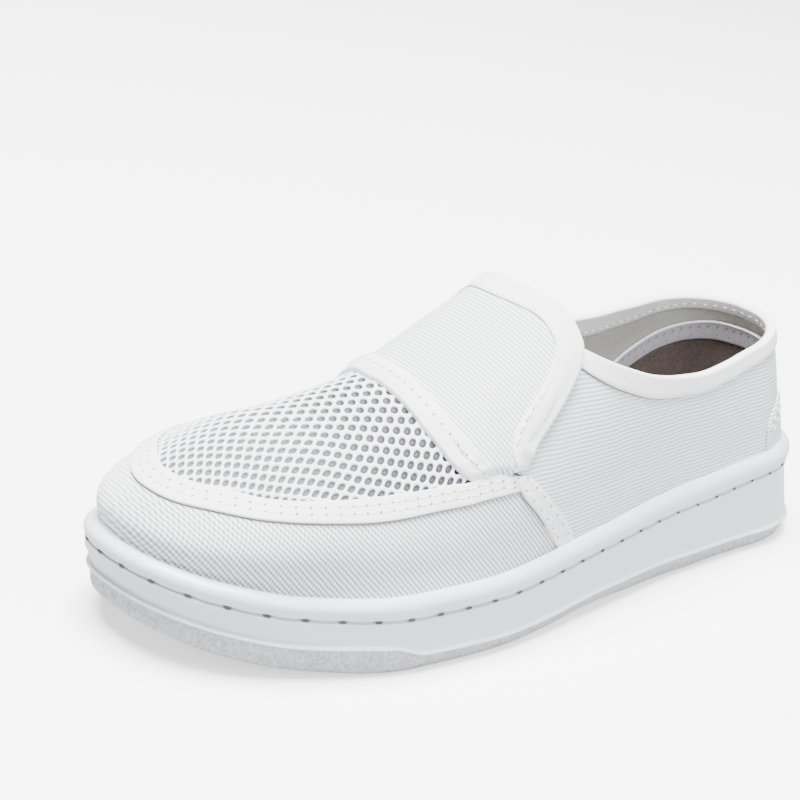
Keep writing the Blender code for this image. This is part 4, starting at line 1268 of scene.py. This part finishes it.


# Stitches: short threads along a seam, with dark beads between them painted as the shade in the needle holes

stitchSets = {      # millimetres; share is half a thread's length against the pitch
    "tape": {"pitch": 4.3, "thread": 0.45, "rise": 0.22, "share": 0.32, "hole": (0.55, 0.42)},
    "hem": {"pitch": 4.0, "thread": 0.35, "rise": 0.22, "share": 0.32, "hole": (0.45, 0.42)},
    "binding": {"pitch": 4.3, "thread": 0.50, "rise": 0.22, "share": 0.30, "hole": (0.40, 0.32)},
    "collar": {"pitch": 3.6, "thread": 0.08, "rise": 0.20, "share": 0.18, "hole": (0.30, 0.25)},
    "heel": {"pitch": 3.6, "thread": 0.62, "rise": 0.45, "share": 0.36, "hole": (0.36, 0.36)},
    "patch": {"pitch": 4.6, "thread": 0, "share": 0, "hole": (0.40, 0.40)},
    "overlock": {"pitch": 3.2, "thread": 0, "share": 0, "hole": (1.05, 0.34)},
}


beadSet = {"threadSunk": 0.06, "holeSunk": 0.05, "holeRise": 0.12}


def sewSeam(threads, holes, style, points, normals):
    sizes = stitchSets[style]
    run = np.concatenate([[0.0], np.cumsum(np.linalg.norm(np.diff(points, axis=0), axis=1))])
    stops = np.linspace(0, run[-1], max(int(run[-1] / sizes["pitch"]), 1) + 1)
    at, out = (np.stack([np.interp(stops, run, axis) for axis in rows.T], -1) for rows in (points, normals))
    out = unit(out)
    way = np.gradient(at, axis=0)
    for i in range(len(at) - 1 if sizes["thread"] else 0):
        middle = (at[i] + at[i + 1]) / 2 - out[i] * beadSet["threadSunk"]
        half = sizes["pitch"] * sizes["share"]
        addBead(threads, middle, at[i + 1] - at[i], out[i], half, sizes["thread"], sizes["rise"])
    # each needle hole is a dark bead painted as the hole's shade
    long, wide = sizes["hole"]
    for place, normal, along in zip(at, out, way):
        slash = along + np.cross(normal, along)      # long holes lie slanted
        addBead(holes, place - normal * beadSet["holeSunk"], slash, normal, long, wide, beadSet["holeRise"])


def addBead(bm, centre, run, out, half, thick, rise):
    run = Vector(run).normalized()
    out = Vector(out)
    sideways = out.cross(run).normalized()
    turn = Matrix((run * half, sideways * thick, out * rise)).transposed().to_4x4()
    place = Matrix.Translation(Vector(centre * mm))
    bmesh.ops.create_uvsphere(bm, u_segments=8, v_segments=5, radius=mm, matrix=place @ turn)


def lineOnLast(along, across, lift):
    return lastPoint(along, across, lift), directions(along, across)[2]


def seamLines():
    # style, points and outward ways of each seam
    low, high = vampTapeEdges(np.linspace(*tapeSet["vampSewn"], 400))
    for share in tapeSet["vampSeams"]:
        yield "tape", *lineOnLast(low[0], low[1] + (high[1] - low[1]) * share, tapeSet["vampHigh"])
    for side in (1, -1):
        front, rear = sideTapeEdges(side)(np.linspace(*tapeSet["sideSewn"], 80))
        for share in tapeSet["sideSeams"]:
            along, across = (front[k] + (rear[k] - front[k]) * share for k in (0, 1))
            yield "tape", *lineOnLast(along, across, tapeSet["sideHigh"])
    across = flapSet["lowEnd"] * np.linspace(-0.99, 0.99, 160)
    along = alongOf(flapEdges(across)[0] - flapSet["hemSeam"] / form["length"])
    top = flapSet["thickness"] + flapSet["hemHeight"]
    yield "hem", flapPoint(along, across, top), directions(along, across)[2]
    along, across, forward, outward = (line[8:-8] for line in flapBindingLine(220))
    inset = flapSet["bindingWidth"] - flapSet["bindingSeam"]
    onLast = shiftOnLast(along, across, forward * inset, outward * inset)
    top = flapSet["thickness"] / 2 + flapSet["bindingSeamTop"]
    yield "binding", flapPoint(*onLast, top), directions(*onLast)[2]
    along, side = roundHeel(np.linspace(0, 1, 400), alongOf(collarSet["front"]) * collarSet["sewn"])
    inset = smooth(collarWidth, "inside", stationOf(along)) - collarSet["seamIn"]
    lift = collarSet["inner"] - collarSet["seamUnder"]
    points, out = lineOnLast(along, belowCollar(along, side, inset), lift)
    yield "collar", points, -out
    for inset in heelSet["seams"]:
        end = (heelSet["half"] - inset / edgeLength) * heelSet["end"]
        along, side = roundHeel(np.linspace(0, 1, 160), end)
        across, high = (heelStayAcross(along, side, step) for step in (inset, 0.0))
        low = bySide(rimTable, along, side) + heelSet["foot"]
        lift = heelStayLift(along, (low - across) / (low - high))
        yield "heel", *lineOnLast(along, side * across, lift)
    for share, style in patchSet["seams"]:
        along, across = patchEdges(share, 1)(np.linspace(*patchSet["sewn"], 200))[0]
        points, out = lineOnLast(along, across, patchSet["tapeHigh"])
        yield style, points, -out


seamShadowSet = {"steps": (-0.15, 0.42), "low": -0.3, "high": 0.10}      # a thin dark strip painted as the shadow below a sewn edge


def collarShadowEdges(u):
    along, side = roundHeel(u, alongOf(collarSet["front"]))
    width = smooth(collarWidth, "outside", stationOf(along))
    return [(along, belowCollar(along, side, width + step)) for step in seamShadowSet["steps"]]


def vampShadowEdges(u):
    along, lower = vampTapeEdges(u)[0]
    return [(along, lower + step / form["ribLength"]) for step in seamShadowSet["steps"]]


def sideShadowEdges(side):
    def edgesAt(u):
        along, across = sideTapeEdges(side)(u)[0]
        return [(along + step / edgeLength, across) for step in seamShadowSet["steps"]]
    return edgesAt


def makeSeamShadows():
    # dark strips painted as shadow along the collar binding's lower edge, the vamp tape's lower edge and the
    # side tapes' front edges
    whole = bmesh.new()
    gaps = ((300, collarShadowEdges), (300, vampShadowEdges), (50, sideShadowEdges(1)), (50, sideShadowEdges(-1)))
    for count, edgesAt in gaps:
        joinInto(whole, layStrip(count, edgesAt, seamShadowSet["low"], seamShadowSet["high"], turns=8))
    finishPiece("paintedSeamShadows", whole, needleShade)


def makeStitches():
    threads, holes = bmesh.new(), bmesh.new()
    for style, points, normals in seamLines():
        sewSeam(threads, holes, style, points, normals)
    finishPiece("threads", threads, threadWhite)
    finishPiece("needleHoles", holes, needleShade)


# Floor and light

stageSet = {
    "floorSize": 6.0, "floorRough": 0.9, "floorShown": (244, 245, 246), "floorGlow": (172, 173, 176),
    "floorLift": 1.2, "world": 0.25, "aim": (0, -0.02, 0.04),
    "lights": (      # place, width, watts
        ("key", (-0.05, -0.25, 2.15), 1.4, 340.0), ("fill", (1.5, 0.0, 1.0), 1.0, 27.0),
    ),
}


def makeStage():
    bm = bmesh.new()
    bmesh.ops.create_grid(bm, x_segments=1, y_segments=1, size=stageSet["floorSize"])
    floor = addObject("floor", meshOf("floor", bm))
    material = bpy.data.materials.new("floor")
    material.use_nodes = True
    tree = material.node_tree
    shader = tree.nodes["Principled BSDF"]
    seen = tree.nodes.new("ShaderNodeLightPath").outputs["Is Camera Ray"]
    colour = mixColours(tree, seen, stageSet["floorGlow"], stageSet["floorShown"])      # seen paler
    plug(tree, shader.inputs["Base Color"], colour)
    plug(tree, shader.inputs["Emission Color"], mixColours(tree, seen, (0, 0, 0), (255, 255, 255)))
    plug(tree, shader.inputs["Emission Strength"], stageSet["floorLift"])
    plug(tree, shader.inputs["Roughness"], stageSet["floorRough"])
    floor.data.materials.append(material)
    world = bpy.context.scene.world or bpy.data.worlds.new("studio")
    bpy.context.scene.world = world
    world.use_nodes = True
    background = world.node_tree.nodes["Background"]
    background.inputs["Color"].default_value = (1.0, 1.0, 1.0, 1.0)
    background.inputs["Strength"].default_value = stageSet["world"]
    for name, place, width, watts in stageSet["lights"]:
        lamp = addObject(name, bpy.data.lights.new(name, "AREA"))
        lamp.data.energy = watts
        lamp.data.size = width
        lamp.location = place
        lamp.rotation_mode = "QUATERNION"
        lamp.rotation_quaternion = (Vector(stageSet["aim"]) - Vector(place)).to_track_quat("-Z", "Y")


stages = {
    "flap": (makeFlap, makeFlapHem, makeFlapBinding),
    "upper": (makeQuarter, makeToeCanvas, makeVampMesh, makeTapes, makeCollarBinding, makeHeelStay),
    "inside": (makeLining, makeHeelPatch, makeInsole),
    "sole": (makeMidsole, makeSolePits, makeOutsole),
    "stitches": (makeStitches, makeSeamShadows),
    "stage": (makeStage,),
}
for stage, makers in stages.items():
    for make in makers:
        make()
    print(stage, "made")
